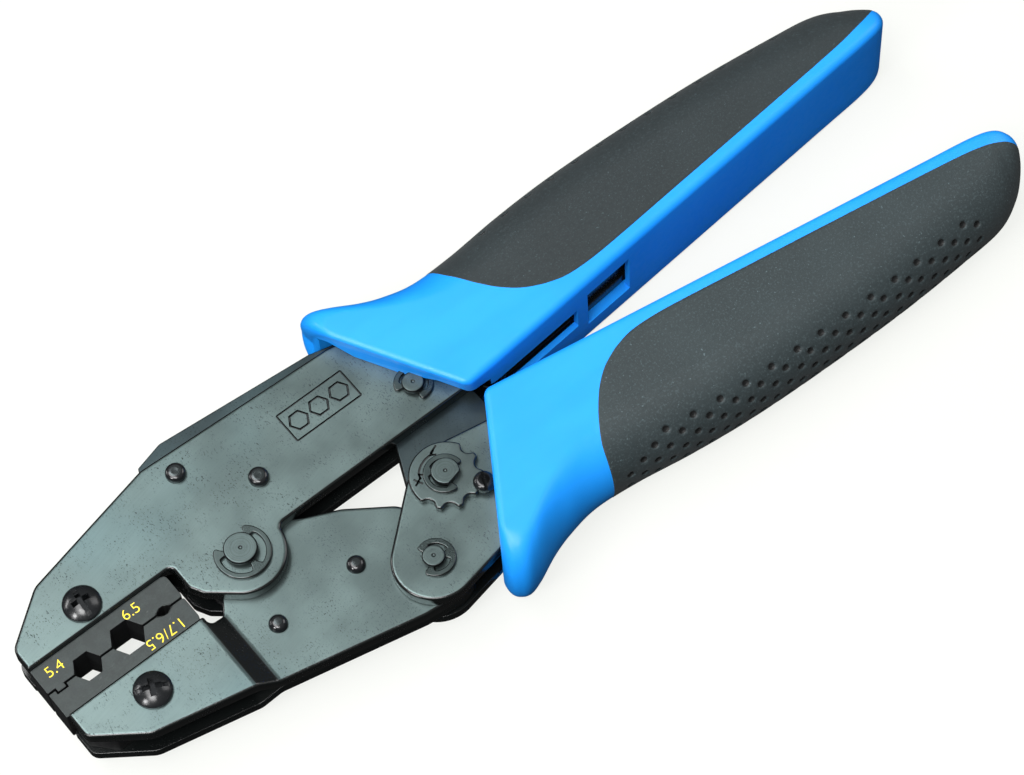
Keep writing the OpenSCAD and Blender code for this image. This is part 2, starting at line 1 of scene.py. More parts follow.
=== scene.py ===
"""Looks of a ratchet crimping tool, built over its packed mechanical model.

The steel pieces are pressings, which are an outline with rolled edges and holes, and turnings,
which are a profile carried round an axis. Each stands for one node of the mechanical model. The
two grips are lofted surfaces, each with a soft cover that has rows of dimples. Lengths in the
classes are millimetres, with the main pivot's axis at x = y = 0 and z = 0 in the tool's middle
plane; to_frame turns them into the frame's metres.
"""
import logging
import math
from dataclasses import dataclass, field
from enum import Enum
from typing import Any, Dict, List, Optional, Sequence, Tuple

import bmesh
import bpy
import numpy as np
from mathutils import Matrix, Vector
from mathutils.geometry import delaunay_2d_cdt


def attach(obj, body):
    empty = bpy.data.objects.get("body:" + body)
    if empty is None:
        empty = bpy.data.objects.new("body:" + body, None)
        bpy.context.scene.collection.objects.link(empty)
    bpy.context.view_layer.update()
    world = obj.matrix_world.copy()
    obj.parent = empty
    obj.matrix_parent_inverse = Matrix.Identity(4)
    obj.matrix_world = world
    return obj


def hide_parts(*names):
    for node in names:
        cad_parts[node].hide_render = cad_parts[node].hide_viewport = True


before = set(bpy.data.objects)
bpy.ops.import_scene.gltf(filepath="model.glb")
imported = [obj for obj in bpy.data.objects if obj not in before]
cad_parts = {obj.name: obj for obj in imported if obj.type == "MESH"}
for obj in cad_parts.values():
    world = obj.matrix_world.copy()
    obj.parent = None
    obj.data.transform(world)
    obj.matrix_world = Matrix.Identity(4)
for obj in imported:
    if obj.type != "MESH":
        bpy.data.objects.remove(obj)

log = logging.getLogger("crimping_tool")
MM = 0.001
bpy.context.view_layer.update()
# The main pivot's axis and the tool's middle plane, in the frame's millimetres.
PIVOT = np.array([-66.1, 1.9, 11.5])
# Sharp corners move no further than this mitre lets them when an outline is drawn in.
MITRE = 0.35
# Half of a corner's angle, in radians, past which the corner is too flat to be rounded.
NEARLY_STRAIGHT = 1.553
Colour = Tuple[float, float, float]


class Body(Enum):
    """The bodies that pieces ride on."""

    FRAME = "frame"
    JAW = "lower_jaw"
    HANDLE = "moving_handle"
    LINK = "toggle_link"
    PAWL = "ratchet_pawl"


class Slot(Enum):
    """The record's material slots."""

    PLATE = "plate_steel"
    DIE = "die_steel"
    SCREW = "black_screw"
    PIN = "pin_steel"
    CLIP = "clip_steel"
    SPRING = "spring_steel"
    BLUE = "blue_plastic"
    RUBBER = "grey_rubber"


class Side(Enum):
    """Which of the two grips a piece belongs to."""

    UPPER = 1
    LOWER = -1


# ---------------------------------------------------------------- meshes


def to_frame(points: np.ndarray) -> np.ndarray:
    """Moves points from the main pivot's axes, in millimetres, to the frame's metres."""
    return (np.asarray(points, float) + PIVOT) * MM


def new_piece(name: str, points: np.ndarray, faces: Sequence[Sequence[int]]) -> bpy.types.Object:
    """Makes a smooth-shaded mesh object.

    Args:
        name: the piece's name.
        points: one row of x, y, z per vertex, in metres.
        faces: vertex numbers of each face, counter-clockwise from outside.

    Returns:
        The new object, at the origin.
    """
    mesh = bpy.data.meshes.new(name)
    mesh.from_pydata(points.tolist(), [], [tuple(map(int, f)) for f in faces])
    mesh.shade_smooth()
    piece = bpy.data.objects.new(name, mesh)
    bpy.context.scene.collection.objects.link(piece)
    return piece


def grid_faces(rows: int, columns: int, closed: bool = False) -> np.ndarray:
    """Quads of a grid of points stored row by row.

    Args:
        rows: number of rows of points.
        columns: number of points in each row.
        closed: whether the last column joins the first.

    Returns:
        An array of four vertex numbers per quad.
    """
    last = columns if closed else columns - 1
    i, j = np.meshgrid(np.arange(rows - 1), np.arange(last), indexing="ij")
    k = (j + 1) % columns
    quads = np.stack([i * columns + j, i * columns + k, (i + 1) * columns + k,
                      (i + 1) * columns + j], -1)
    return quads.reshape(-1, 4)


def baked(piece: bpy.types.Object) -> bpy.types.Object:
    """Applies a piece's modifiers to its mesh."""
    graph = bpy.context.evaluated_depsgraph_get()
    mesh = bpy.data.meshes.new_from_object(piece.evaluated_get(graph))
    mesh.name = piece.name
    piece.modifiers.clear()
    piece.data = mesh
    return piece


def sharpen(mesh: bpy.types.Mesh, degrees: float) -> None:
    """Shades a mesh smooth, apart from the edges that turn more than the angle."""
    mesh.shade_smooth()
    mesh.set_sharp_from_angle(angle=math.radians(degrees))


def dress(piece: bpy.types.Object, node: str, body: Body,
          finish: bpy.types.Material) -> bpy.types.Object:
    """Gives a piece its finish, puts it on its body and lets it stand for a mechanical node."""
    piece.data.materials.clear()
    piece.data.materials.append(finish)
    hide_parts(node)
    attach(piece, body.value)
    log.info("%s: %d faces", piece.name, len(piece.data.polygons))
    return piece


def shade_sunk_ground(piece: bpy.types.Object, finish: bpy.types.Material, level: float) -> None:
    """Paints shade on the flat ground of struck marks, at a level in the pivot's axes, with its
    own finish.
    """
    piece.data.materials.append(finish)
    middle = np.empty(len(piece.data.polygons) * 3, np.float32)
    piece.data.polygons.foreach_get("center", middle)
    sunk = np.abs(middle[2::3] / MM - PIVOT[2] - level) < 0.01
    piece.data.polygons.foreach_set("material_index", sunk.astype(np.int32))
    piece.data.update()


def unit(v: np.ndarray) -> np.ndarray:
    """Vectors scaled to length 1 along the last axis."""
    return v / np.maximum(np.linalg.norm(v, axis=-1, keepdims=True), 1e-12)


def rounded(corners: Sequence[Sequence[float]], steps: int = 8) -> np.ndarray:
    """Closed outline with rounded corners. At each corner the fillet's centre lies on the
    bisector, radius / sin(half the corner's angle) away, and the arc runs between the two
    points where it touches the sides.

    Args:
        corners: x, y and radius of each corner, the radius being 0 where it is left out.
        steps: number of stretches in each fillet.

    Returns:
        The outline's points, counter-clockwise.
    """
    data = np.array([(tuple(c) + (0.0,))[:3] for c in corners], float)
    b, r = data[:, :2], data[:, 2]
    u, w = unit(np.roll(b, 1, 0) - b), unit(np.roll(b, -1, 0) - b)
    half = np.arccos(np.clip((u * w).sum(-1), -1, 1)) / 2
    r = np.where(half > NEARLY_STRAIGHT, 0.0, r)
    centre = b + unit(u + w) * (r / np.sin(half))[:, None]
    touch = (r / np.tan(half))[:, None]
    s, e = b + u * touch - centre, b + w * touch - centre
    a0 = np.arctan2(s[:, 1], s[:, 0])
    sweep = (np.arctan2(e[:, 1], e[:, 0]) - a0 + math.pi) % (2 * math.pi) - math.pi
    angle = a0[:, None] + sweep[:, None] * np.linspace(0, 1, steps + 1)
    points = centre[:, None] + r[:, None, None] * np.stack([np.cos(angle), np.sin(angle)], -1)
    points = points.reshape(-1, 2)
    points = points[np.linalg.norm(points - np.roll(points, 1, 0), axis=1) > 1e-3]
    return points if area(points) > 0 else points[::-1]


def held(loop: np.ndarray, reach: float = 0.4) -> np.ndarray:
    """Loop with a point added near each end of its long sides, so that the rounded corners'
    shading does not run along them."""
    side = np.roll(loop, -1, 0) - loop
    step = unit(side) * reach
    long = np.linalg.norm(side, axis=1) > 4 * reach
    points = np.stack([loop, loop + step, loop + side - step], 1)
    return points[np.stack([np.ones_like(long), long, long], 1)]


def area(loop: np.ndarray) -> float:
    """Signed area of a closed loop, above 0 when it runs counter-clockwise."""
    x, y = loop[:, 0], loop[:, 1]
    return float((x * np.roll(y, -1) - y * np.roll(x, -1)).sum() / 2)


def arc(centre: Sequence[float], radius: float, start: float, end: float,
        steps: int = 24) -> List[Tuple[float, float, float]]:
    """Corners along an arc between two angles in degrees, for use in rounded."""
    a = np.radians(np.linspace(start, end, steps + 1))
    points = np.asarray(centre)[None] + radius * np.stack([np.cos(a), np.sin(a)], -1)
    return [(float(x), float(y), 0.0) for x, y in points]


def circle(x: float, y: float, r: float, steps: int = 64) -> np.ndarray:
    """Points of a circle, counter-clockwise."""
    a = np.arange(steps) * 2 * math.pi / steps
    return np.stack([x + r * np.cos(a), y + r * np.sin(a)], -1)


def inset(loop: np.ndarray, d: float) -> np.ndarray:
    """Loop moved inwards: each point goes along the sum of its two sides' inward normals,
    far enough to bring both sides in by d."""
    side = unit(np.roll(loop, -1, 0) - loop)
    normal = np.stack([-side[:, 1], side[:, 0]], -1)
    before = np.roll(normal, 1, 0)
    both = normal + before
    return loop + d * both / np.maximum((both * normal).sum(-1), MITRE)[:, None]


def within(points: np.ndarray, loop: np.ndarray) -> np.ndarray:
    """Which points lie inside a loop: a ray to +X crosses its sides an odd number of times."""
    a, b = loop, np.roll(loop, -1, 0)
    px, py = points[:, None, 0], points[:, None, 1]
    spans = (a[None, :, 1] > py) != (b[None, :, 1] > py)
    rise = np.where(np.abs(b[:, 1] - a[:, 1]) < 1e-12, 1e-12, b[:, 1] - a[:, 1])
    cut = a[None, :, 0] + (py - a[None, :, 1]) * ((b[:, 0] - a[:, 0]) / rise)[None]
    return (spans & (px < cut)).sum(1) % 2 == 1


def fill(loops: Sequence[np.ndarray]) -> np.ndarray:
    """Triangles between an outer loop and the holes in it.

    Args:
        loops: the outer loop first, then each hole.

    Returns:
        Three numbers per triangle, counting the loops' points in order.
    """
    points = np.concatenate(loops)
    edges, start = [], 0
    for loop in loops:
        k = np.arange(len(loop))
        edges += np.stack([k + start, (k + 1) % len(loop) + start], -1).tolist()
        start += len(loop)
    found = delaunay_2d_cdt([Vector(p) for p in points], edges, [], 1, 1e-6)
    origin = np.array([o[0] if o else -1 for o in found[3]])
    triangles = origin[np.array([f for f in found[2] if len(f) == 3])]
    triangles = triangles[(triangles >= 0).all(1)]
    middle = points[triangles].mean(1)
    keep = within(middle, loops[0])
    for hole in loops[1:]:
        keep &= ~within(middle, hole)
    triangles = triangles[keep]
    corner = points[triangles]
    ahead, beside = corner[:, 1] - corner[:, 0], corner[:, 2] - corner[:, 0]
    turned = ahead[:, 0] * beside[:, 1] - ahead[:, 1] * beside[:, 0] < 0
    triangles[turned] = triangles[turned][:, ::-1]
    return triangles


Form = Tuple[np.ndarray, List[Tuple[int, ...]]]


def joined(forms: Sequence[Form]) -> Form:
    """Several closed forms as one."""
    points, faces, start = [], [], 0
    for p, f in forms:
        points.append(p)
        faces += [tuple(int(i) + start for i in face) for face in f]
        start += len(p)
    return np.concatenate(points), faces


def turned_over(form: Form) -> Form:
    """A form mirrored to the tool's other face, with its faces still outwards."""
    points, faces = form
    return points * np.array([1, 1, -1]), [tuple(f)[::-1] for f in faces]


@dataclass
class Pressing:
    """A flat piece: an outline and holes between two levels, with one edge rolled and the
    other eased. The rolled edge is a quarter ellipse, in by its first size and down by its
    second; narrow flat strips beside it keep the faces' shading true."""

    outline: np.ndarray
    low: float
    high: float
    holes: Sequence[Tuple[float, float, float]] = ()
    roll: Tuple[float, float] = (0.55, 0.42)
    ease: float = 0.12
    strip: float = 0.04

    def form(self) -> Form:
        """Returns the piece's points and faces."""
        thick = self.high - self.low
        q = np.radians(np.linspace(0, 90, 7))
        e = np.radians(np.linspace(0, 90, 4))
        wide, deep = self.roll
        d = np.concatenate([[wide + self.strip], wide * (1 - np.sin(q)), [0.0],
                            self.ease * (1 - np.cos(e)), [self.ease + self.strip]])
        z = np.concatenate([[thick], thick - deep * (1 - np.cos(q)), [thick - deep - 0.05],
                            self.ease * (1 - np.sin(e)), [0.0]])
        outline = held(self.outline)
        loops = np.stack([inset(outline, float(k)) for k in d])
        count = len(outline)
        walls = np.concatenate([loops, np.broadcast_to(z[:, None, None], (len(d), count, 1))], -1)
        faces = [tuple(f)[::-1] for f in grid_faces(len(d), count, closed=True)]
        points = [walls.reshape(-1, 3)]
        start = len(d) * count
        rims = {"top": [loops[0]], "base": [loops[-1]]}
        number = {"top": [np.arange(count)], "base": [np.arange(count) + (len(d) - 1) * count]}
        for x, y, r in self.holes:
            ring = circle(x, y, r)
            k = np.arange(len(ring))
            j = (k + 1) % len(ring)
            faces += np.stack([start + k, start + j, start + len(ring) + j,
                               start + len(ring) + k], -1).tolist()
            for level, height in (("top", thick), ("base", 0.0)):
                rims[level].append(ring)
                number[level].append(start + k)
                points.append(np.concatenate([ring, np.full((len(ring), 1), height)], 1))
                start += len(ring)
        for level in ("top", "base"):
            cap = np.concatenate(number[level])[fill(rims[level])]
            faces += (cap if level == "top" else cap[:, ::-1]).tolist()
        return np.concatenate(points) + np.array([0, 0, self.low]), faces


@dataclass
class Turning:
    """A round piece: a profile carried round an axis along Z. The profile lists radius, level
    and fillet from the axis at the base to the axis at the top."""

    axis: Tuple[float, float]
    profile: Sequence[Sequence[float]]
    steps: int = 72

    def form(self) -> Form:
        """Returns the piece's points and faces."""
        line = rounded(self.profile, 6)
        first = int(np.argmin(np.abs(line - np.asarray(self.profile[0])[:2]).sum(1)))
        line = np.roll(line, -first, 0)
        inner = line[1:-1] if abs(line[-1, 0]) < 1e-9 else line[1:]
        a = np.arange(self.steps) * 2 * math.pi / self.steps
        ring = np.stack([np.cos(a), np.sin(a)], -1)
        body = np.concatenate([inner[:, None, :1] * ring[None],
                               np.broadcast_to(inner[:, None, 1:], (len(inner), self.steps, 1))], -1)
        faces = [tuple(f) for f in grid_faces(len(inner), self.steps, closed=True)]
        base, top = len(inner) * self.steps, len(inner) * self.steps + 1
        k = np.arange(self.steps)
        j = (k + 1) % self.steps
        faces += np.stack([np.full_like(k, base), j, k], -1).tolist()
        last = (len(inner) - 1) * self.steps
        faces += np.stack([np.full_like(k, top), last + k, last + j], -1).tolist()
        ends = np.array([[0, 0, line[0, 1]], [0, 0, line[-1, 1]]])
        points = np.concatenate([body.reshape(-1, 3), ends])
        return points + np.array([self.axis[0], self.axis[1], 0.0]), faces


def block(middle: Sequence[float], size: Sequence[float], turn: float = 0) -> Form:
    """A box about a point, turned about Z in degrees; only used to cut with."""
    signs = np.array([[x, y, z] for z in (-1, 1) for x, y in ((-1, -1), (1, -1), (1, 1), (-1, 1))])
    a = math.radians(turn)
    spin = np.array([[math.cos(a), math.sin(a), 0], [-math.sin(a), math.cos(a), 0], [0, 0, 1]])
    points = (signs * np.asarray(size) / 2) @ spin + np.asarray(middle)
    faces = [(3, 2, 1, 0), (4, 5, 6, 7), (0, 1, 5, 4), (1, 2, 6, 5), (2, 3, 7, 6), (3, 0, 4, 7)]
    return points, faces


def shape(name: str, form: Form, cuts: Sequence[Form] = (), sharp: float = 34) -> bpy.types.Object:
    """Makes a piece from a form in the pivot's axes, and cuts other forms out of it.

    Args:
        name: the piece's name.
        form: its points and faces.
        cuts: forms taken away from it.
        sharp: edges that turn more than this many degrees stay sharp.

    Returns:
        The piece, not yet dressed.
    """
    piece = new_piece(name, to_frame(form[0]), form[1])
    if cuts:
        points, faces = joined(cuts)
        tool = new_piece("cutter", to_frame(points), faces)
        cut = piece.modifiers.new("cut", "BOOLEAN")
        cut.operation, cut.solver, cut.object = "DIFFERENCE", "EXACT", tool
        cut.use_self = True
        baked(piece)
        bpy.data.objects.remove(tool)
    sharpen(piece.data, sharp)
    return piece


# ---------------------------------------------------------------- finishes


class Shader:
    """A node material with short ways to add and join nodes."""

    def __init__(self, name: str) -> None:
        """Starts a material whose only node is its surface shader."""
        self.material = bpy.data.materials.new(name)
        self.material.use_nodes = True
        self.tree = self.material.node_tree
        self.surface = self.tree.nodes["Principled BSDF"]

    def node(self, kind: str, inputs: Optional[Dict[Any, Any]] = None, **settings: Any) -> bpy.types.Node:
        """Adds a node.

        Args:
            kind: the node's type, without its ShaderNode prefix.
            inputs: for each input, a value or the output socket that feeds it.
            settings: the node's own settings.

        Returns:
            The new node.
        """
        made = self.tree.nodes.new("ShaderNode" + kind)
        for key, value in settings.items():
            setattr(made, key, value)
        for key, value in (inputs or {}).items():
            self.feed(made.inputs[key], value)
        return made

    def feed(self, socket: bpy.types.NodeSocket, value: Any) -> None:
        """Sets an input to a value, or joins it to an output."""
        if isinstance(value, bpy.types.NodeSocket):
            self.tree.links.new(value, socket)
        else:
            socket.default_value = value

    def set(self, **inputs: Any) -> None:
        """Sets or feeds the surface shader's inputs; an underscore stands for a space."""
        for key, value in inputs.items():
            self.feed(self.surface.inputs[key.replace("_", " ")], value)

    def place(self, scale: Sequence[float] = (1, 1, 1), turn: float = 0,
              shift: Sequence[float] = (0, 0, 0)) -> bpy.types.NodeSocket:
        """Object coordinates, shifted, turned about Z in degrees, then scaled.

        Returns:
            The vector's socket.
        """
        seen = self.node("TexCoord").outputs["Object"]
        moved = self.node("Mapping", {"Vector": seen, "Location": tuple(-s for s in shift)})
        turned = self.node("Mapping", {"Vector": moved.outputs[0],
                                       "Rotation": (0, 0, -math.radians(turn))})
        return self.node("Mapping", {"Vector": turned.outputs[0], "Scale": tuple(scale)}).outputs[0]

    def noise(self, vector: bpy.types.NodeSocket, scale: float, detail: float = 2,
              rough: float = 0.5) -> bpy.types.NodeSocket:
        """Noise from 0 to 1 at a scale in cells per metre."""
        return self.node("TexNoise", {"Vector": vector, "Scale": scale, "Detail": detail,
                                      "Roughness": rough}).outputs["Fac"]

    def steps(self, value: bpy.types.NodeSocket, low: float, high: float, a: float = 0,
              b: float = 1) -> bpy.types.NodeSocket:
        """Runs smoothly from a to b as the value goes from low to high."""
        return self.node("MapRange", {"Value": value, "From Min": low, "From Max": high,
                                      "To Min": a, "To Max": b},
                         interpolation_type="SMOOTHSTEP").outputs["Result"]

    def math(self, kind: str, a: Any, b: Any = 0.0) -> bpy.types.NodeSocket:
        """One arithmetic step."""
        return self.node("Math", {0: a, 1: b}, operation=kind).outputs[0]

    def mix(self, share: Any, a: Any, b: Any) -> bpy.types.NodeSocket:
        """Mixes two colours, each a socket or three numbers."""
        made = self.node("Mix", data_type="RGBA")
        for socket, value in ((made.inputs[0], share), (made.inputs[6], a), (made.inputs[7], b)):
            if isinstance(value, tuple) and len(value) == 3:
                value = (*value, 1.0)
            self.feed(socket, value)
        return made.outputs[2]

    def bump(self, height: bpy.types.NodeSocket, strength: float, distance: float,
             below: Optional[bpy.types.NodeSocket] = None) -> bpy.types.NodeSocket:
        """A bump of the given height in millimetres, on top of another normal."""
        inputs = {"Height": height, "Strength": strength, "Distance": distance * MM}
        if below is not None:
            inputs["Normal"] = below
        return self.node("Bump", inputs).outputs["Normal"]

    def flatness(self) -> bpy.types.NodeSocket:
        """How squarely the surface faces away from the tool's middle plane: 1 on outward
        faces, 0 on walls and below 0 on inward faces. The stamped, die and turned finishes paint
        shade where it is low."""
        seen = self.node("TexCoord")
        facing = self.node("SeparateXYZ", {0: seen.outputs["Normal"]}).outputs["Z"]
        level = self.node("SeparateXYZ", {0: seen.outputs["Object"]}).outputs["Z"]
        middle = float(PIVOT[2]) * MM
        side = self.node("MapRange", {"Value": level, "From Min": middle - 5e-4,
                                      "From Max": middle + 5e-4, "To Min": -1.0, "To Max": 1.0})
        return self.math("MULTIPLY", facing, side.outputs["Result"])


@dataclass(frozen=True)
class StampedSteel:
    """Blued sheet steel: satin faces with a brushed grain and pits; walls, rolled edges and
    inward faces painted near black as shade.
    """

    name: str
    face: Colour = (0.150, 0.204, 0.200)
    tint: Colour = (0.124, 0.200, 0.212)
    shade: Colour = (0.110, 0.149, 0.147)
    # Painted shade: the near-black colour that walls, rolled edges and inward faces take.
    wall: Colour = (0.004, 0.005, 0.005)
    roughness: float = 0.36
    brush: float = 14.0
    pits: float = 1.0

    def build(self) -> bpy.types.Material:
        """Makes the material: patches, brush lines and pits on the faces, and painted shade,
        plain near black, on the walls, rolled edges and inward faces.
        """
        s = Shader(self.name)
        # Mask of the painted shade: near 1 on outward faces, 0 on walls, rolled edges and inward faces.
        flat = s.steps(s.flatness(), 0.93, 0.995)
        grain = s.place((120, 3400, 900), self.brush)
        lines = s.noise(grain, 1.0, 4, 0.62)
        patches = s.noise(s.place(), 70, 3, 0.55)
        cast = s.noise(s.place(shift=(0.3, 0.1, 0)), 34, 1)
        specks = s.noise(s.place((2300, 4600, 2300), self.brush + 80), 1.0, 1.5, 0.4)
        dots = s.steps(specks, 0.60, 0.70)
        clouds = s.steps(s.noise(s.place(shift=(0.1, 0.7, 0)), 160, 4, 0.65), 0.36, 0.66)
        tone = s.mix(s.steps(patches, 0.32, 0.72), self.shade, self.face)
        tone = s.mix(s.steps(cast, 0.5, 0.8, 0, 0.55), tone, self.tint)
        tone = s.mix(s.steps(lines, 0.3, 0.75, 0.0, 0.20), tone, tuple(0.55 * c for c in self.face))
        marks = s.math("MULTIPLY", dots, s.math("MULTIPLY", clouds, 0.85 * self.pits))
        tone = s.mix(marks, tone, (0.02, 0.024, 0.026))
        s.set(Base_Color=s.mix(flat, self.wall, tone))
        s.set(Metallic=s.steps(flat, 0.0, 1.0, 0.0, 0.93))
        rough = s.math("ADD", s.steps(patches, 0.3, 0.8, self.roughness - 0.05, self.roughness + 0.07),
                       s.math("MULTIPLY", marks, 0.3))
        s.set(Roughness=s.math("MULTIPLY", rough, s.steps(flat, 0.0, 1.0, 0.55, 1.0)))
        fine = s.bump(lines, 0.32, 0.012)
        s.set(Normal=s.bump(s.math("SUBTRACT", 1.0, marks), 0.5, 0.03, fine))
        return s.material


@dataclass(frozen=True)
class DieSteel:
    """Ground tool steel with a dark satin oxide and a fine mottle."""

    name: str
    face: Colour = (0.050, 0.060, 0.059)
    # Painted shade: the darker colour that walls and inward faces take.
    wall: Colour = (0.016, 0.017, 0.018)

    def build(self) -> bpy.types.Material:
        """Makes the material: even grain with a few small light scuffs on the faces, and painted
        shade, a darker colour, on the walls and inward faces.
        """
        s = Shader(self.name)
        # Mask of the painted shade on walls and inward faces.
        flat = s.steps(s.flatness(), 0.8, 0.97)
        grain = s.noise(s.place(), 2600, 3, 0.6)
        mottle = s.noise(s.place(), 420, 4, 0.6)
        scuff = s.steps(s.noise(s.place((420, 1500, 420), 25), 1.0, 3, 0.6), 0.66, 0.8, 0, 0.45)
        tone = s.mix(s.steps(mottle, 0.35, 0.7), tuple(0.72 * c for c in self.face), self.face)
        tone = s.mix(s.steps(grain, 0.3, 0.72, 0.0, 0.35), tone, tuple(0.5 * c for c in self.face))
        tone = s.mix(scuff, tone, (0.15, 0.155, 0.155))
        s.set(Base_Color=s.mix(flat, self.wall, tone), Metallic=0.55,
              Roughness=s.steps(mottle, 0.3, 0.7, 0.46, 0.56),
              Normal=s.bump(grain, 0.4, 0.010))
        return s.material


@dataclass(frozen=True)
class BlackOxide:
    """Glossy black oxide on screws and rivets."""

    name: str
    base: Colour = (0.006, 0.007, 0.008)
    face: Colour = (0.055, 0.066, 0.068)
    roughness: float = 0.14

    def build(self) -> bpy.types.Material:
        """Makes the material: near-black metal with a little orange peel."""
        s = Shader(self.name)
        peel = s.noise(s.place(), 900, 2, 0.5)
        wear = s.steps(s.noise(s.place(), 1600, 3, 0.6), 0.62, 0.78, 0, 0.5)
        flat = s.steps(s.flatness(), 0.985, 0.999)
        tone = s.mix(wear, self.base, (0.02, 0.022, 0.024))
        s.set(Base_Color=s.mix(flat, tone, self.face), Metallic=s.steps(flat, 0, 1, 0, 0.8),
              Roughness=s.steps(peel, 0.3, 0.7, self.roughness - 0.03, self.roughness + 0.06),
              Normal=s.bump(peel, 0.16, 0.02))
        return s.material


@dataclass(frozen=True)
class TurnedSteel:
    """Turned pin ends: fine rings about the pin's axis, and sides painted near black as shade."""

    name: str
    axis: Tuple[float, float]
    face: Colour = (0.125, 0.168, 0.166)
    # Painted shade: the near-black colour of the pins' sides and rounded edges.
    side: Colour = (0.012, 0.013, 0.014)

    def build(self) -> bpy.types.Material:
        """Makes the material: a noise of the distance from the axis gives the rings."""
        s = Shader(self.name)
        centre = to_frame(np.array([self.axis[0], self.axis[1], 0.0]))
        around = s.place((1, 1, 0), shift=(centre[0], centre[1], 0))
        radius = s.node("VectorMath", {0: around}, operation="LENGTH").outputs["Value"]
        spoke = s.node("CombineXYZ", {"X": radius}).outputs[0]
        rings = s.noise(spoke, 5200, 3, 0.7)
        # Mask of the painted shade on the sides and rounded edges.
        flat = s.steps(s.flatness(), 0.9, 0.99)
        patina = s.noise(s.place(), 700, 3, 0.6)
        tone = s.mix(s.steps(rings, 0.3, 0.7), tuple(0.55 * c for c in self.face), self.face)
        tone = s.mix(s.steps(patina, 0.45, 0.75, 0, 0.4), tone, tuple(0.4 * c for c in self.face))
        s.set(Base_Color=s.mix(flat, self.side, tone), Metallic=0.9, Roughness=0.36,
              Normal=s.bump(rings, 0.5, 0.02))
        return s.material


@dataclass(frozen=True)
class MouldedPlastic:
    """Blue moulded grip plastic with a fine spark-eroded grain."""

    name: str
    base: Colour = (0.008, 0.285, 0.92)
    roughness: float = 0.42

    def build(self) -> bpy.types.Material:
        """Makes the material: two sizes of grain and a faint unevenness of colour."""
        s = Shader(self.name)
        grain = s.noise(s.place(), 2300, 3, 0.6)
        orange = s.noise(s.place(), 620, 2, 0.5)
        flow = s.noise(s.place((1, 3, 1)), 40, 2)
        tone = s.mix(s.steps(flow, 0.35, 0.7), self.base, (0.012, 0.31, 0.95))
        tone = s.mix(s.steps(grain, 0.62, 0.78, 0, 0.10), tone, (0.003, 0.17, 0.66))
        s.set(Base_Color=tone, Specular_IOR_Level=0.45,
              Roughness=s.steps(orange, 0.3, 0.7, self.roughness - 0.03, self.roughness + 0.05),
              Normal=s.bump(grain, 0.22, 0.02, s.bump(orange, 0.12, 0.03)))
        return s.material


@dataclass(frozen=True)
class SoftRubber:
    """Dark grey soft cover with pale specks and a dry, slightly dusty face."""

    name: str
    base: Colour = (0.0235, 0.0345, 0.0375)
    roughness: float = 0.62

    def build(self) -> bpy.types.Material:
        """Makes the material: fine specks, sparse dust, painted shade in the dimples and a
        pebbled bump.
        """
        s = Shader(self.name)
        fine = s.noise(s.place(), 2300, 3, 0.65)
        pebble = s.noise(s.place(), 1150, 2, 0.5)
        dust = s.steps(s.noise(s.place(), 2100, 1, 0.3), 0.745, 0.80, 0, 0.8)
        clouds = s.noise(s.place(), 60, 2)
        tone = s.mix(s.steps(clouds, 0.35, 0.7), tuple(0.88 * c for c in self.base), self.base)
        tone = s.mix(s.steps(fine, 0.50, 0.72, 0, 0.6), tone, tuple(2.5 * c for c in self.base))
        tone = s.mix(dust, tone, tuple(3.6 * c for c in self.base))
        # Painted shade: the dimples' hollows are painted near black, darkest where deepest.
        dimple_shade = s.node("Attribute", attribute_name="dimple_shade").outputs["Fac"]
        tone = s.mix(s.steps(dimple_shade, 0.3, 0.6), tone, tuple(0.07 * c for c in self.base))
        s.set(Base_Color=tone,
              Roughness=s.steps(pebble, 0.3, 0.7, self.roughness - 0.06, self.roughness + 0.08),
              Specular_IOR_Level=0.4, Sheen_Weight=0.06, Sheen_Roughness=0.5,
              Normal=s.bump(fine, 0.5, 0.04, s.bump(pebble, 0.2, 0.05)))
        return s.material


@dataclass(frozen=True)
class InkAndShadePaint:
    """The yellow of printed marks, or painted shade on the sunk ground of struck marks."""

    name: str
    base: Colour = (0.86, 0.66, 0.03)
    roughness: float = 0.5

    def build(self) -> bpy.types.Material:
        """Makes the material: a colour that thins out in small patches."""
        s = Shader(self.name)
        thin = s.steps(s.noise(s.place(), 1900, 3, 0.6), 0.55, 0.8, 0, 0.35)
        s.set(Base_Color=s.mix(thin, self.base, tuple(0.55 * c for c in self.base)),
              Roughness=self.roughness)
        return s.material


# ---------------------------------------------------------------- grips


def spline(knots: np.ndarray, t: np.ndarray) -> np.ndarray:
    """Catmull-Rom curve: each stretch is the cubic that leaves and meets its two knots with
    half the difference of their neighbours as slope.

    Args:
        knots: one row per knot.
        t: places along the curve, from 0 to the number of knots less one.

    Returns:
        One point per place.
    """
    count = len(knots)
    i = np.clip(np.floor(t).astype(int), 0, count - 2)
    f = (t - i)[..., None]
    a, b, c, d = (knots[np.clip(i + k, 0, count - 1)] for k in (-1, 0, 1, 2))
    return b + 0.5 * f * (c - a + f * (2 * a - 5 * b + 4 * c - d + f * (3 * (b - c) + d - a)))


def smooth(x: np.ndarray) -> np.ndarray:
    """Runs from 0 to 1 as x does, with flat ends."""
    x = np.clip(x, 0, 1)
    return x * x * (3 - 2 * x)


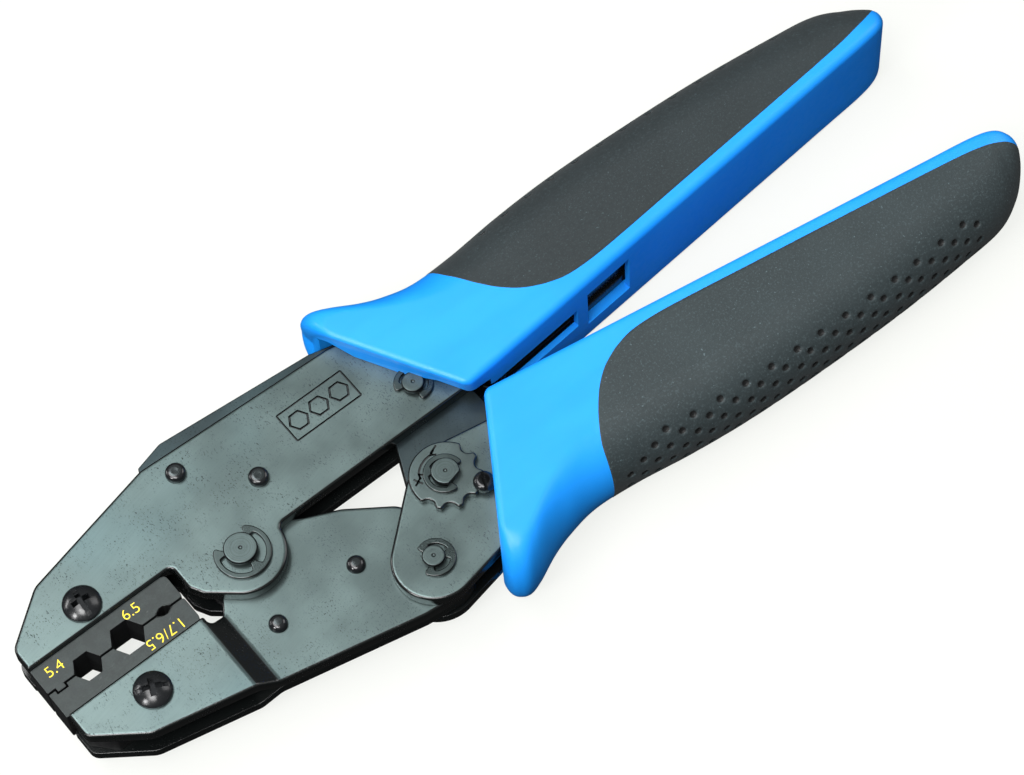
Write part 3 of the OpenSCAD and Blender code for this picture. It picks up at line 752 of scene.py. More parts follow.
@dataclass
class Grip:
    """One grip: a blue shell lofted between two rails, and a soft cover on its outer side.

    u runs along the grip, v out from its inner side and z through it, in millimetres. Places t
    along the two rails count their knots, so the same t on both is one line of the loft.
    """

    side: Side
    body: Body
    prefix: str
    start: Tuple[float, float]
    slope: float
    half: float = 11.5
    inner_round: float = 1.7
    front_round: float = 1.3
    guard_round: float = 8.0
    tip_from: float = 12.8
    tip_run: float = 3.2
    tip_flat: float = 0.8
    cover_to: float = 15.93
    cover_sink: float = 1.5
    cover_proud: float = 0.06
    lip: float = 0.12
    tuck: float = 1.0
    lean: float = 0.0
    tang: Sequence[Tuple[float, float]] = ()
    way_in: Tuple[float, float, float] = (28.9, 3.0, 3.3)
    window: Tuple[float, float] = (31.7, 43.5)
    inner: np.ndarray = field(default_factory=lambda: np.array([
        [-1.2, 0], [0, 0], [1.6, 0], [4, 0], [8, 0], [12, 0], [18, 0], [26, 0], [36, 0], [48, 0],
        [64, 0], [84, 0], [101, 0], [111.5, 0], [117, 0.5], [119.8, 2.1], [120.9, 4.6]], float))
    outer: np.ndarray = field(default_factory=lambda: np.array([
        [-16, 33.8], [-14.9, 36.6], [-12.4, 37.7], [-9.2, 36.4], [-4, 33], [1, 30.6], [8, 28.4],
        [18, 27.6], [31, 27.6], [45, 26.9], [62, 25], [83, 21.9], [101, 18.3], [110.8, 15.8],
        [116.6, 12.0], [120.0, 8.0], [121.0, 5.5]], float))
    front_seam: np.ndarray = field(default_factory=lambda: np.array([
        [25.6, 5.7], [21.8, 8.4], [18.6, 12], [16, 16.2], [14, 20.4], [12.7, 24.2], [12.2, 29.5]],
        float))
    low_seam: np.ndarray = field(default_factory=lambda: np.array([
        [25.6, 5.7], [29.5, 4.1], [34.5, 3.3], [42, 3.0], [60, 3.0], [85, 3.0], [105, 3.1],
        [112.5, 3.5], [117.4, 4.3], [120.3, 5.5]], float))

    def place(self, points: np.ndarray) -> np.ndarray:
        """Turns grip points into the frame's metres: a turn by the slope, and for the lower
        grip a mirror across its inner side first."""
        u, v, z = points[..., 0], points[..., 1] * self.side.value, points[..., 2]
        a = math.radians(self.slope)
        x = self.start[0] + u * math.cos(a) - v * math.sin(a)
        y = self.start[1] + u * math.sin(a) + v * math.cos(a)
        return to_frame(np.stack([x, y, z], -1))

    def lines(self, t: np.ndarray) -> Tuple[np.ndarray, np.ndarray, np.ndarray]:
        """Inner rail point, outward direction and width of the loft's lines at places t."""
        a, b = spline(self.inner, t), spline(self.outer, t)
        w = np.linalg.norm(b - a, axis=-1)
        return a, (b - a) / w[..., None], w

    def thickness(self, t: np.ndarray) -> np.ndarray:
        """Half thickness along the loft: constant, then an ellipse's quarter at the tip."""
        end = np.clip((t - self.tip_from) / self.tip_run, 0, 1)
        return self.half * np.sqrt(1 - self.tip_flat * end * end)

    def outer_round(self, t: np.ndarray, w: np.ndarray) -> np.ndarray:
        """How far in the outer edge's round reaches: little on the guard, then all of the half
        thickness."""
        e = np.minimum(self.inner_round, w / 4)
        reach = self.guard_round + (self.half - self.guard_round) * smooth((t - 2.5) / 4)
        return np.minimum(np.minimum(self.thickness(t), reach), w - e - 0.05)

    def section(self, w: np.ndarray, h: np.ndarray, m: np.ndarray,
                s: np.ndarray) -> Tuple[np.ndarray, np.ndarray]:
        """Section of the grip: a small round at the inner edge, a straight flank, then a
        quarter ellipse to the outer edge.

        Args:
            w: width of each line.
            h: half thickness at each line.
            m: how far in the outer edge's round reaches.
            s: place round the half section, 0 at the inner face's middle to 4 at the outer edge.

        Returns:
            Distance from the inner side, and height.
        """
        e = np.minimum(self.inner_round, w / 4)
        face = np.clip(s, 0, 1)
        turn = np.clip(s - 1, 0, 1) * math.pi / 2
        flank = np.clip(s - 2, 0, 1)
        swing = np.clip(s - 3, 0, 1) * math.pi / 2
        x = e * (1 - np.cos(turn)) + flank * (w - m - e) + m * np.sin(swing)
        z = face * (h - e) + e * np.sin(turn) - h * (1 - np.cos(swing))
        return x, z

    def height(self, plan: np.ndarray) -> np.ndarray:
        """Height of the loft's upper half over plan points, which is found on the loft line
        that passes through each point.

        Args:
            plan: u, v of each point.

        Returns:
            The height of each point, 0 at the outer edge.
        """
        t = np.linspace(0, len(self.inner) - 1, 600)
        a, d, w = self.lines(t)
        flat = plan.reshape(-1, 2)
        out = np.empty(len(flat))
        for block in np.array_split(np.arange(len(flat)), max(1, len(flat) // 4000)):
            p = flat[block]
            cross = d[None, :, 0] * (p[:, None, 1] - a[None, :, 1]) \
                - d[None, :, 1] * (p[:, None, 0] - a[None, :, 0])
            past = np.argmax(cross > 0, axis=1)
            past = np.where(cross.max(1) <= 0, len(t) - 1, np.maximum(past, 1))
            rows = np.arange(len(p))
            c0, c1 = cross[rows, past - 1], cross[rows, past]
            share = np.clip(c0 / np.where(np.abs(c0 - c1) < 1e-12, 1, c0 - c1), 0, 1)
            ti = t[past - 1] + share * (t[1] - t[0])
            ai, di, wi = self.lines(ti)
            x = np.clip(((p - ai) * di).sum(-1), 0, wi)
            h = self.thickness(ti)
            e = np.minimum(self.inner_round, wi / 4)
            m = self.outer_round(ti, wi)
            z = h.copy()
            near = x < e
            z[near] = (h - e + np.sqrt(np.clip(e * e - (e - x) ** 2, 0, None)))[near]
            far = x > wi - m
            k = np.clip((x - (wi - m)) / m, 0, 1)
            z[far] = (h * np.sqrt(1 - k * k))[far]
            out[block] = z
        return out.reshape(plan.shape[:-1])

    def seam_distance(self, plan: np.ndarray) -> np.ndarray:
        """How far plan points lie inside the cover's seam, in millimetres; below 0 outside."""
        past_tip = np.array([[126.0, 8.0]])
        seam = np.concatenate([
            spline(self.front_seam, np.linspace(len(self.front_seam) - 1, 0, 60)),
            spline(self.low_seam, np.linspace(0, len(self.low_seam) - 1, 160))[1:], past_tip])
        a, b = seam[:-1], seam[1:]
        flat = plan.reshape(-1, 2)
        best = np.full(len(flat), 1e9)
        sign = np.ones(len(flat))
        for p0, p1 in zip(a, b):
            along = p1 - p0
            k = np.clip(((flat - p0) @ along) / (along @ along), 0, 1)
            gap = np.linalg.norm(flat - p0 - k[:, None] * along, axis=1)
            nearer = gap < best
            best = np.where(nearer, gap, best)
            left = along[0] * (flat[:, 1] - p0[1]) - along[1] * (flat[:, 0] - p0[0])
            sign = np.where(nearer, np.sign(left), sign)
        return (best * sign).reshape(plan.shape[:-1])

    def shell(self, paint: bpy.types.Material) -> bpy.types.Object:
        """Builds the shell: the loft with a rounded front wall that leans back towards the
        middle plane, sunk under the cover, and cut for the tang, the link and a window.

        Args:
            paint: the blue plastic.

        Returns:
            The finished shell.
        """
        last = len(self.inner) - 1
        nose = 1.45 * (1 - np.sin(np.radians(np.linspace(90, 8, 12))))
        t = np.concatenate([nose, np.linspace(1.6, 6, 70), np.linspace(6, 13, 110)[1:],
                            np.linspace(13, last, 60)[1:]])
        half = np.concatenate([np.linspace(0, 1, 4)[:-1], np.linspace(1, 2, 9)[:-1],
                               np.linspace(2, 3, 22)[:-1], np.linspace(3, 4, 26)])
        s = np.concatenate([half, half[-2:0:-1]])
        top = np.concatenate([np.ones(len(half)), -np.ones(len(half) - 2)])
        tt, ss = np.meshgrid(t, s, indexing="ij")
        a, d, w = self.lines(tt)
        x, z = self.section(w, self.thickness(tt), self.outer_round(tt, w), ss)
        z = z * top[None, :]
        x, z = self._round_front(a + d * x[..., None], x, z, len(nose) + 8)
        plan = a + d * x[..., None]
        depth = (plan - plan[0, 0]) @ self._behind(plan)
        lean = self.lean * (1 - np.abs(z) / self.half) * (1 - smooth(depth / 8))
        plan = plan + lean[..., None] * self._behind(plan)
        points = np.concatenate([plan, z[..., None]], -1)
        sink = self.cover_sink * smooth((self.seam_distance(plan) - 0.5) / 1.4)
        middle = a + d * (0.5 * w)[..., None]
        core = np.concatenate([middle, np.zeros_like(z)[..., None]], -1)
        points = points - unit(points - core) * sink[..., None]
        rows, columns = points.shape[:2]
        faces = [tuple(f) for f in grid_faces(rows, columns, closed=True)]
        faces.append(tuple(range(columns - 1, -1, -1)))
        faces.append(tuple((rows - 1) * columns + i for i in range(columns)))
        shell = self._closed(self.prefix + "_shell_moulded", self.place(points.reshape(-1, 3)), faces)
        self._cut(shell)
        sharpen(shell.data, 38)
        return dress(shell, self.prefix + "_shell", self.body, paint)

    def _behind(self, plan: np.ndarray) -> np.ndarray:
        """Direction in plan that leads straight back from the front wall."""
        wall = unit(plan[0, len(plan[0]) // 2] - plan[0, 0])
        return np.array([wall[1], -wall[0]])

    def _round_front(self, plan: np.ndarray, x: np.ndarray, z: np.ndarray,
                     rows: int) -> Tuple[np.ndarray, np.ndarray]:
        """Rounds the edge between the front wall and the sides: each of the first rows is
        drawn in, in its own plane, by r less the height of a circle of radius r over the
        depth of its points behind the wall.

        Args:
            plan: u, v of every point.
            x: distance of every point from the inner side, along its row.
            z: height of every point.
            rows: how many rows to draw in.

        Returns:
            The new distances and heights.
        """
        r = self.front_round
        depth = (plan[:rows] - plan[0, 0]) @ self._behind(plan)
        d = r - np.sqrt(np.clip(r * r - (r - np.clip(depth, 0, r)) ** 2, 0, None))
        x, z = x.copy(), z.copy()
        for i in range(rows):
            loop = np.stack([x[i], z[i]], -1)
            side = unit(np.roll(loop, -1, 0) - loop)
            normal = np.stack([side[:, 1], -side[:, 0]], -1)
            both = normal + np.roll(normal, 1, 0)
            loop = loop + d[i][:, None] * both / np.maximum((both * normal).sum(-1), MITRE)[:, None]
            x[i], z[i] = loop[:, 0], loop[:, 1]
        return x, z

    def _closed(self, name: str, points: np.ndarray, faces: List[Tuple[int, ...]]) -> bpy.types.Object:
        """Makes a closed piece whose faces point outwards."""
        piece = new_piece(name, points, faces)
        work = bmesh.new()
        work.from_mesh(piece.data)
        bmesh.ops.recalc_face_normals(work, faces=work.faces)
        work.to_mesh(piece.data)
        work.free()
        return piece

    def _cut(self, shell: bpy.types.Object) -> None:
        """Cuts the tang's pocket, the link's way in and the window out of the shell."""
        u, v, h = self.way_in
        near, far = self.window
        boxes = [(np.array(self.tang, float), 5.85),
                 (np.array([[-30, -6], [u, -6], [u, v], [-30, v]], float), h),
                 (np.array([[near, -4], [far, -4], [far, v], [near, v]], float), 6.0)]
        for outline, high in boxes:
            count = len(outline)
            base = np.concatenate([outline, np.full((count, 1), -high)], 1)
            lid = np.concatenate([outline, np.full((count, 1), high)], 1)
            faces = [tuple(range(count - 1, -1, -1)), tuple(range(count, 2 * count))]
            faces += [(i, (i + 1) % count, count + (i + 1) % count, count + i) for i in range(count)]
            cutter = self._closed("cutter", self.place(np.concatenate([base, lid])), faces)
            cut = shell.modifiers.new("cut", "BOOLEAN")
            cut.operation, cut.solver, cut.object = "DIFFERENCE", "EXACT", cutter
            baked(shell)
            bpy.data.objects.remove(cutter)

    def cover(self, paint: bpy.types.Material) -> bpy.types.Object:
        """Builds the soft cover: rows of points from the seam on the front, over the outer
        edge, to the seam on the back, with a turned-down lip and rows of dimples.

        Args:
            paint: the grey rubber.

        Returns:
            The finished cover.
        """
        rows, columns = 440, 100
        tau = np.linspace(0, 1, rows)
        seam_in = spline(self.low_seam, tau * (len(self.low_seam) - 1))
        seam_out = spline(self.outer, np.linspace(self._outer_place(), self.cover_to, rows))
        swing = np.concatenate([np.linspace(0, 0.36, 26)[:-1], np.linspace(0.36, 1, columns - 25)])
        first, last = self.front_seam[0], self.front_seam[-1]
        bow = spline(self.front_seam, swing * (len(self.front_seam) - 1))
        bow = (bow - first - (last - first) * swing[:, None])[None] * ((1 - tau) ** 5)[:, None, None]
        plan = seam_in[:, None] + (seam_out - seam_in)[:, None] * swing[None, :, None] + bow
        skin = self._lifted(self._spaced(plan))
        normal = self._normals(skin)
        pits = self._dimples(skin, normal)
        sheet = self._tucked(skin + normal * (self.cover_proud - pits)[..., None], normal)
        faces = [tuple(f) for f in grid_faces(*sheet.shape[:2])]
        if self.side is Side.UPPER:
            faces = [f[::-1] for f in faces]
        cover = new_piece(self.prefix + "_cover_moulded", self.place(sheet.reshape(-1, 3)), faces)
        # The dimples' depth, from 0 to 1, feeds the painted shade in the cover's finish.
        dimple_shade = cover.data.attributes.new("dimple_shade", "FLOAT", "POINT")
        dimple_shade.data.foreach_set("value", (np.pad(pits, ((1, 1), (2, 2))) / pits.max()).ravel())
        return dress(cover, self.prefix + "_cover", self.body, paint)

    def _outer_place(self) -> float:
        """Place on the outer rail where the seam crosses it."""
        t = np.linspace(3, 9, 2000)
        rail = spline(self.outer, t)
        return float(t[np.argmin(np.abs(rail[:, 0] - self.front_seam[-1][0]))])

    def _spaced(self, plan: np.ndarray) -> np.ndarray:
        """Spaces the points of each row evenly over the flank, and then evenly in angle over
        the outer edge's round."""
        split = 0.22
        k = np.linspace(0, 1, plan.shape[1])
        width = np.linalg.norm(plan[:, -1:] - plan[:, :1], axis=-1)
        m = np.minimum(self.half, width * 0.92)
        turn = np.clip((k[None] - split) / (1 - split), 0, 1) * math.pi / 2
        x = np.where(k[None] < split, k[None] / split * (width - m), width - m + m * np.sin(turn))
        share = np.clip(x / width, 0, 1)
        return np.stack([np.stack([np.interp(to, k, row[:, c]) for c in (0, 1)], -1)
                         for to, row in zip(share, plan)])

    def _lifted(self, plan: np.ndarray) -> np.ndarray:
        """Lifts plan rows onto the loft, and carries each on over its mirror at the back."""
        z = self.height(plan)
        z[:, -1] = 0
        front = np.concatenate([plan, z[..., None]], -1)
        back = front[:, -2::-1] * np.array([1, 1, -1])
        return np.concatenate([front, back], 1)

    def _tucked(self, skin: np.ndarray, normal: np.ndarray) -> np.ndarray:
        """Adds the cover's edge all round: a small bevel, then a lip turned down into the
        shell.

        Args:
            skin: the cover's points.
            normal: their unit normals.

        Returns:
            The points with two more columns at each side and one more row at each end.
        """
        sides = []
        for end, beside in ((0, 1), (-1, -2)):
            rim, n = skin[:, end], normal[:, end]
            bevel = (unit(skin[:, beside] - rim) - n) * self.lip * 0.3
            sides.append([rim - n * self.tuck, rim - n * self.lip, rim + bevel])
        wide = np.stack([*sides[0], *np.moveaxis(skin[:, 1:-1], 1, 0), *sides[1][::-1]], 1)
        n0, n1 = (np.pad(normal[end], ((2, 2), (0, 0)), mode="edge") for end in (0, -1))
        return np.concatenate([[wide[0] - n0 * self.tuck, wide[0] - n0 * self.lip], wide[1:-1],
                               [wide[-1] - n1 * self.lip, wide[-1] - n1 * self.tuck]])

    def _normals(self, skin: np.ndarray) -> np.ndarray:
        """Unit normals of a grid of points: the cross product of its two directions, turned
        away from the grip's middle plane line."""
        along = np.gradient(skin, axis=0)
        across = np.gradient(skin, axis=1)
        normal = np.cross(along, across)
        normal /= np.linalg.norm(normal, axis=-1, keepdims=True) + 1e-12
        sign = np.sign(normal[..., 2] * np.sign(skin[..., 2] + 1e-9) + normal[..., 1] * 0.5)
        middle = skin.shape[1] // 2
        sign = np.where(np.abs(np.arange(skin.shape[1]) - middle) < 8, np.sign(normal[..., 1]), sign)
        return normal * sign[..., None]

    def _dimples(self, skin: np.ndarray, normal: np.ndarray) -> np.ndarray:
        """Depth of the dimples: nine staggered rows of shallow round bowls, each a raised
        cosine of the distance from its middle.

        Args:
            skin: the cover's points.
            normal: the cover's unit normals.

        Returns:
            The depth at each point.
        """
        pitch, radius, deep = 6.25, 0.98, 0.6
        half = ((26.0, 13), (22.8, 14), (19.7, 14), (16.5, 15))
        depth = np.zeros(skin.shape[:2])
        for row, (first, count) in enumerate((*half, (19.7, 14), *half[::-1])):
            tilt = math.radians(42 - 10.5 * row)
            for k in range(count):
                centre = self._on_outer(first + pitch * k, tilt)
                near = np.linalg.norm(skin - centre, axis=-1)
                spot = np.unravel_index(np.argmin(near), near.shape)
                centre = centre + normal[spot] * ((skin[spot] - centre) @ normal[spot])
                near = np.linalg.norm(skin - centre, axis=-1)
                bowl = deep * (1 - smooth((near - 0.5) / (radius - 0.5)))
                depth = np.maximum(depth, np.where(near < radius, bowl, 0))
        return depth

    def _on_outer(self, u: float, tilt: float) -> np.ndarray:
        """Point of the loft's outer round near u, at an angle up from the middle plane."""
        t = np.linspace(4, 14, 400)
        a, d, w = self.lines(t)
        h = self.thickness(t)
        m = self.outer_round(t, w)
        p = a + d * (w - m * (1 - math.cos(tilt)))[:, None]
        i = int(np.argmin(np.abs(p[:, 0] - u)))
        return np.array([p[i, 0], p[i, 1], h[i] * math.sin(tilt)])


# ---------------------------------------------------------------- steel work


@dataclass
class Layout:
    """Where the tool's pins, levels and grips are."""

    main_pin: Tuple[float, float] = (0.0, 0.0)
    link_pin: Tuple[float, float] = (48.2, 7.1)
    adjuster: Tuple[float, float] = (40.5, -13.2)
    jaw_pin: Tuple[float, float] = (27.9, -25.4)
    gap: float = 2.9
    face: float = 5.7
    sheet: float = 2.8
    die_half: float = 4.6
    upper_start: Tuple[float, float] = (56.0, -2.3)
    lower_start: Tuple[float, float] = (58.2, -4.8)
    upper_slope: float = 5.1
    lower_slope: float = -9.4
    frame_rivets: Sequence[Tuple[float, float]] = ((0.1, 21.7), (12.2, 10.5))
    jaw_rivets: Sequence[Tuple[float, float]] = ((16.1, -15.5), (-3.2, -15.8))
    upper_screw: Tuple[float, float] = (-30.6, 10.7)
    lower_screw: Tuple[float, float] = (-30.6, -12.7)
    rivet_hole: float = 1.62
    screw_hole: float = 1.92

    def upper(self, u: float, v: float, r: float = 0.0) -> Tuple[float, float, float]:
        """A corner given along the fixed grip and out from its inner side."""
        a = math.radians(self.upper_slope)
        return (self.upper_start[0] + u * math.cos(a) - v * math.sin(a),
                self.upper_start[1] + u * math.sin(a) + v * math.cos(a), r)

    def lower(self, u: float, v: float, r: float = 0.0) -> Tuple[float, float, float]:
        """A corner given along the moving grip and out from its inner side."""
        a = math.radians(self.lower_slope)
        return (self.lower_start[0] + u * math.cos(a) + v * math.sin(a),
                self.lower_start[1] + u * math.sin(a) - v * math.cos(a), r)


@dataclass
class SidePlates:
    """The three pairs of stamped side plates, front and back."""

    at: Layout
    roll: Tuple[float, float] = (0.75, 0.5)
    badge_deep: float = 0.34

    def frame_outline(self) -> np.ndarray:
        """Head of the frame, its throat and pivot boss, and the tang."""
        up = self.at.upper
        return rounded([(-46.6, 6.2, 0.5), (-46.6, 11.4, 3), (-35.6, 19.8, 5), (-5, 26.9, 4),
                        (39.6, 24.9, 8), up(14, 21, 12), up(78, 14.5, 3), up(78, 2, 3),
                        up(33, 1.8, 12), up(3, 2.1, 12), (9.9, 0.1, 1.6),
                        *arc((0, 0), 9.1, -5, -125), (-10.9, -2.6, 2.5), (-12.5, 0.4, 2),
                        (-12.5, 6.2, 1.2)])

    def jaw_outline(self) -> np.ndarray:
        """Lower jaw from its nose to the jaw pin's eye and the hub round the main pin."""
        return rounded([(-46.1, -6.2, 0.5), (-46.1, -12.3, 2.5), (-36, -19.8, 5), (20.3, -32.6, 8),
                        *arc(self.at.jaw_pin, 8, -95, 45), (32.6, -15, 3), (30.3, -10.5, 5),
                        (21.3, -3.9, 8), (14.5, -0.6, 5), *arc((0, 0), 9, 20, 205),
                        (-10.5, -7.6, 1), (-13.9, -8.4, 1), (-13.9, -6.2, 0.4)])

    def handle_outline(self) -> np.ndarray:
        """Moving handle's plate: the eye round the jaw pin, the adjuster's end and the tang."""
        low = self.at.lower
        eye = [low(-26.5 + 8.6 * math.cos(a), 25.3 + 8.6 * math.sin(a))
               for a in np.radians(np.linspace(217, 73, 25))]
        return rounded([low(78, 6, 3), low(30, 4.6, 10), low(-18.4, 3.5, 8), low(-23.4, 8.2, 6),
                        *eye, low(-4, 26.2, 6), low(16, 21, 12), low(78, 14.5, 3)])

    def build(self, steel: bpy.types.Material) -> None:
        """Builds the six plates.

        Args:
            steel: the blued sheet.
        """
        at = self.at
        plates = {
            "frame_plate": (Body.FRAME, self.frame_outline(), at.gap,
                            [(*at.main_pin, 3.42), (*at.link_pin, 2.32), (*at.upper_screw, at.screw_hole)]
                            + [(*spot, at.rivet_hole) for spot in at.frame_rivets]),
            "jaw_plate": (Body.JAW, self.jaw_outline(), 0.0,
                          [(*at.main_pin, 3.45), (*at.jaw_pin, 2.35), (*at.lower_screw, at.screw_hole)]
                          + [(*spot, at.rivet_hole) for spot in at.jaw_rivets]),
            "handle_plate": (Body.HANDLE, self.handle_outline(), at.gap,
                             [(*at.jaw_pin, 2.32), (*at.adjuster, 2.92)]),
        }
        for node, (body, outline, low, holes) in plates.items():
            form = Pressing(outline, low, low + at.sheet, holes, self.roll).form()
            for end, made in (("_front", form), ("_back", turned_over(form))):
                cuts = self.badge() if node + end == "frame_plate_front" else ()
                piece = shape(node + end + "_stamped", made, cuts)
                if node == "jaw_plate":
                    self.joggle(piece, 1 if end == "_front" else -1)
                dress(piece, node + end, body, steel)
                if cuts:
                    # Painted shade: the badge's sunk ground is painted near black.
                    shade_sunk_ground(piece, InkAndShadePaint("struck_ground_shade", (0.016, 0.020, 0.021), 0.4).build(),
                        at.face - self.badge_deep)

    def joggle(self, piece: bpy.types.Object, way: int) -> None:
        """Sets the jaw's nose off outwards: the plate is scored across the bend, then every
        point is lifted by the side view's height at its x."""
        view = rounded([(-60, 2.9, 0), (-14.5, 2.9, 2.2), (-10.2, 0, 2.2), (60, 0, 0), (60, -9, 0),
                        (-60, -9, 0)], 8)
        view = view[view[:, 1] > -1]
        view = view[np.argsort(view[:, 0])]
        bend = view[(view[:, 0] > -20) & (view[:, 0] < -5), 0]
        lines = np.concatenate([[bend[0] - 0.06], bend, [bend[-1] + 0.06]])
        work = bmesh.new()
        work.from_mesh(piece.data)
        for x in lines:
            bmesh.ops.bisect_plane(work, geom=work.verts[:] + work.edges[:] + work.faces[:],
                                   dist=1e-8, plane_co=((x + PIVOT[0]) * MM, 0, 0), plane_no=(1, 0, 0))
        work.to_mesh(piece.data)
        work.free()
        mesh = piece.data
        co = np.empty(len(mesh.vertices) * 3, np.float32)
        mesh.vertices.foreach_get("co", co)
        co = co.reshape(-1, 3)
        co[:, 2] += way * np.interp(co[:, 0] / MM - PIVOT[0], view[:, 0], view[:, 1]) * MM
        mesh.vertices.foreach_set("co", co.ravel())
        mesh.update()
        sharpen(mesh, 44)

    def badge(self) -> List[Form]:
        """What is struck into the front plate: a framed ground with three hexagons left up."""
        ground, deep = self.at.face, self.badge_deep
        middle = np.array([31.0, 15.6])
        frame_line = rounded([(8.25 * x, 3.8 * y, 0.5) for x, y in ((-1, -1), (1, -1), (1, 1), (-1, 1))])
        cuts = [self._groove(frame_line + middle, 0.55, ground, deep)]
        for x in (-5.0, 0.0, 5.0):
            hexagon = circle(x, 0, 2.45, 6)
            cuts.append(self._groove(rounded([(*p, 0.25) for p in hexagon], 3) + middle, 0.6,
                                     ground, deep))
        return cuts

    def _groove(self, loop: np.ndarray, wide: float, ground: float, deep: float) -> Form:
        """A closed channel along a loop: its section, a narrow trapezium, carried round it."""
        d = np.array([0.0, wide, wide - 0.2, 0.2])
        z = np.array([ground + 0.2, ground + 0.2, ground - deep, ground - deep])
        rings = np.stack([inset(loop, float(k)) for k in d])
        points = np.concatenate([rings, np.broadcast_to(z[:, None, None], (4, len(loop), 1))], -1)
        count = len(loop)
        faces = []
        for i in range(4):
            n = (i + 1) % 4
            k = np.arange(count)
            j = (k + 1) % count
            quad = (i * count + k, i * count + j, n * count + j, n * count + k)
            faces += np.stack(quad, -1).tolist()
        return points.reshape(-1, 3), faces


@dataclass
class InnerWork:
    """Pieces between the plates: spacers, the toggle link and the ratchet pawl."""

    at: Layout
    teeth: int = 12
    sector: float = 19.3
    tooth: float = 1.5

    def link_outline(self) -> np.ndarray:
        """Toggle link: an eye at each end and a toothed sector about the adjuster."""
        pitch = 55 / self.teeth
        rim: List[Tuple[float, float, float]] = []
        for i in range(self.teeth + 1):
            a = 25 - i * pitch
            for turn, r in ((1.6, self.sector), (0.0, self.sector - self.tooth), (-1.6, self.sector)):
                q = math.radians(a + turn)
                rim.append((self.at.adjuster[0] + r * math.cos(q),
                            self.at.adjuster[1] + r * math.sin(q), 0.15))
        return rounded([*arc(self.at.link_pin, 6.5, 160, -20), (57.6, 0, 3), *rim, (47.5, -20.2, 3),
                        *arc(self.at.adjuster, 7.7, -75, -200)], 4)

    def build(self, steel: bpy.types.Material) -> None:
        """Builds the four pieces.

        Args:
            steel: their blued steel.
        """
        at, up, low = self.at, self.at.upper, self.at.lower
        soft = (0.3, 0.3)
        spacer = rounded([(-12, 16, 1), (-12, 22.5, 1), (-6, 25.6, 1), (-4.4, 28.9, 0.5), (2, 30.6, 2),
                          (37, 27.5, 4), up(14, 20.5, 12), up(77, 14, 3), up(77, 2.6, 3),
                          up(31.2, 2.4, 1), up(30, 14, 4), (52, 15.6, 4), (38, 15.6, 6),
                          (21, 12, 3), (15.5, 6.4, 2.5), (9.5, 8, 2), (0, 12, 8), (-8, 10.5, 2)])
        rear = rounded([low(34, 6.5, 3), low(77, 6.8, 3), low(77, 14, 3), low(34, 17.5, 3)])
        pawl_at = np.array(low(11.6, 13)[:2])
        hub = np.array(at.adjuster)
        tip = hub + (self.sector + 1.7) * unit(pawl_at - hub)
        way = unit(tip - pawl_at)
        side = np.array([-way[1], way[0]])
        local = ((0.6, 3.2, 1.2), (-2.6, 3.0, 1.2), (-5.5, 1.0, 0.5), (-5.5, -1.0, 0.5),
                 (-2.6, -3.0, 1.2), (0.6, -3.2, 1.2))
        pawl = rounded([(*(pawl_at + a * way + b * side), r) for a, b, r in local] + [(*tip, 0.3)])
        pieces = (
            ("frame_spacer", Body.FRAME, spacer, 2.9,
             [(*spot, at.rivet_hole) for spot in at.frame_rivets]),
            ("handle_spacer", Body.HANDLE, rear, 2.9, []),
            ("toggle_link", Body.LINK, self.link_outline(), 2.8,
             [(*at.link_pin, 2.35), (*at.adjuster, 4.5)]),
            ("ratchet_pawl", Body.PAWL, pawl, 2.6, [(*pawl_at, 1.55)]),
        )
        for node, body, outline, half, holes in pieces:
            form = Pressing(outline, -half, half, holes, soft, 0.3).form()
            dress(shape(node + "_milled", form), node, body, steel)


@dataclass
class Dies:
    """The pair of dies, with their cavities and nose register; Numerals builds their inked sizes."""

    at: Layout
    seat: float = 6.2
    part: float = 0.2
    left: float = -46.5
    right: float = -14.3
    cavities: Sequence[Tuple[float, float]] = ((-37.1, 5.41), (-27.6, 6.48))
    pin_cavity: float = -19.0

    def outline(self, lower: bool) -> np.ndarray:
        """Upper die's face, from its nose along the parting line and back over the top; the
        lower one is the same with a pocket for the register."""
        part = self.part
        line = [(self.left, part, 0.25)]
        if lower:
            line += [(-44.95, part, 0.15), (-44.95, 1.1, 0.1), (-42.35, 1.1, 0.1), (-42.35, part, 0.15)]
        else:
            line += [(-44.6, part, 0.1), (-44.6, -0.75, 0.15), (-42.7, -0.75, 0.15), (-42.7, part, 0.1)]
        for x, flats in self.cavities:
            r = flats / math.sqrt(3)
            mouth = r - part / math.sqrt(3)
            line += [(x - mouth, part, 0.25), (x - r / 2, flats / 2, 0.12), (x + r / 2, flats / 2, 0.12),
                     (x + mouth, part, 0.25)]
        x = self.pin_cavity
        line += [(x - 1.55, part, 0.12), (x - 1.25, part + 0.35, 0.1), (x - 0.85, part + 0.4, 0.1),
                 (x - 0.5, 0.95, 0.15), (x + 0.5, 0.95, 0.15), (x + 0.85, part + 0.4, 0.1),
                 (x + 1.25, part + 0.35, 0.1), (x + 1.55, part, 0.12)]
        line += [(self.right, part, 0.55), (self.right, self.seat, 1.2), (self.left, self.seat, 0.3)]
        return rounded(line, 5)

    def build(self, steel: bpy.types.Material) -> None:
        """Builds both dies: the block, and behind it the tongue between the plates.

        Args:
            steel: the dies' steel.
        """
        at, chamfer = self.at, (0.1, 0.1)
        for node, body, sign, screw, tall in (("upper_die", Body.FRAME, 1, at.upper_screw, 8.0),
                                              ("lower_die", Body.JAW, -1, at.lower_screw, 9.0)):
            face = self.outline(sign < 0) * np.array([1, sign])
            face = face if sign > 0 else face[::-1]
            left, right, base = self.left + 1, self.right - 1.2, self.seat - 1
            corners = ((left, base), (right, base), (right, self.seat + tall),
                       (self.left + 5, self.seat + tall, 1), (left, self.seat + 4.5, 1))
            tongue = rounded([(x, y * sign, *r) for x, y, *r in corners])
            form = joined([Pressing(face, -at.die_half, at.die_half, (), chamfer, 0.1).form(),
                           Pressing(tongue, -2.85, 2.85, [(*screw, 2.0)], chamfer, 0.1).form()])
            dress(shape(node + "_ground", form), node, body, steel)


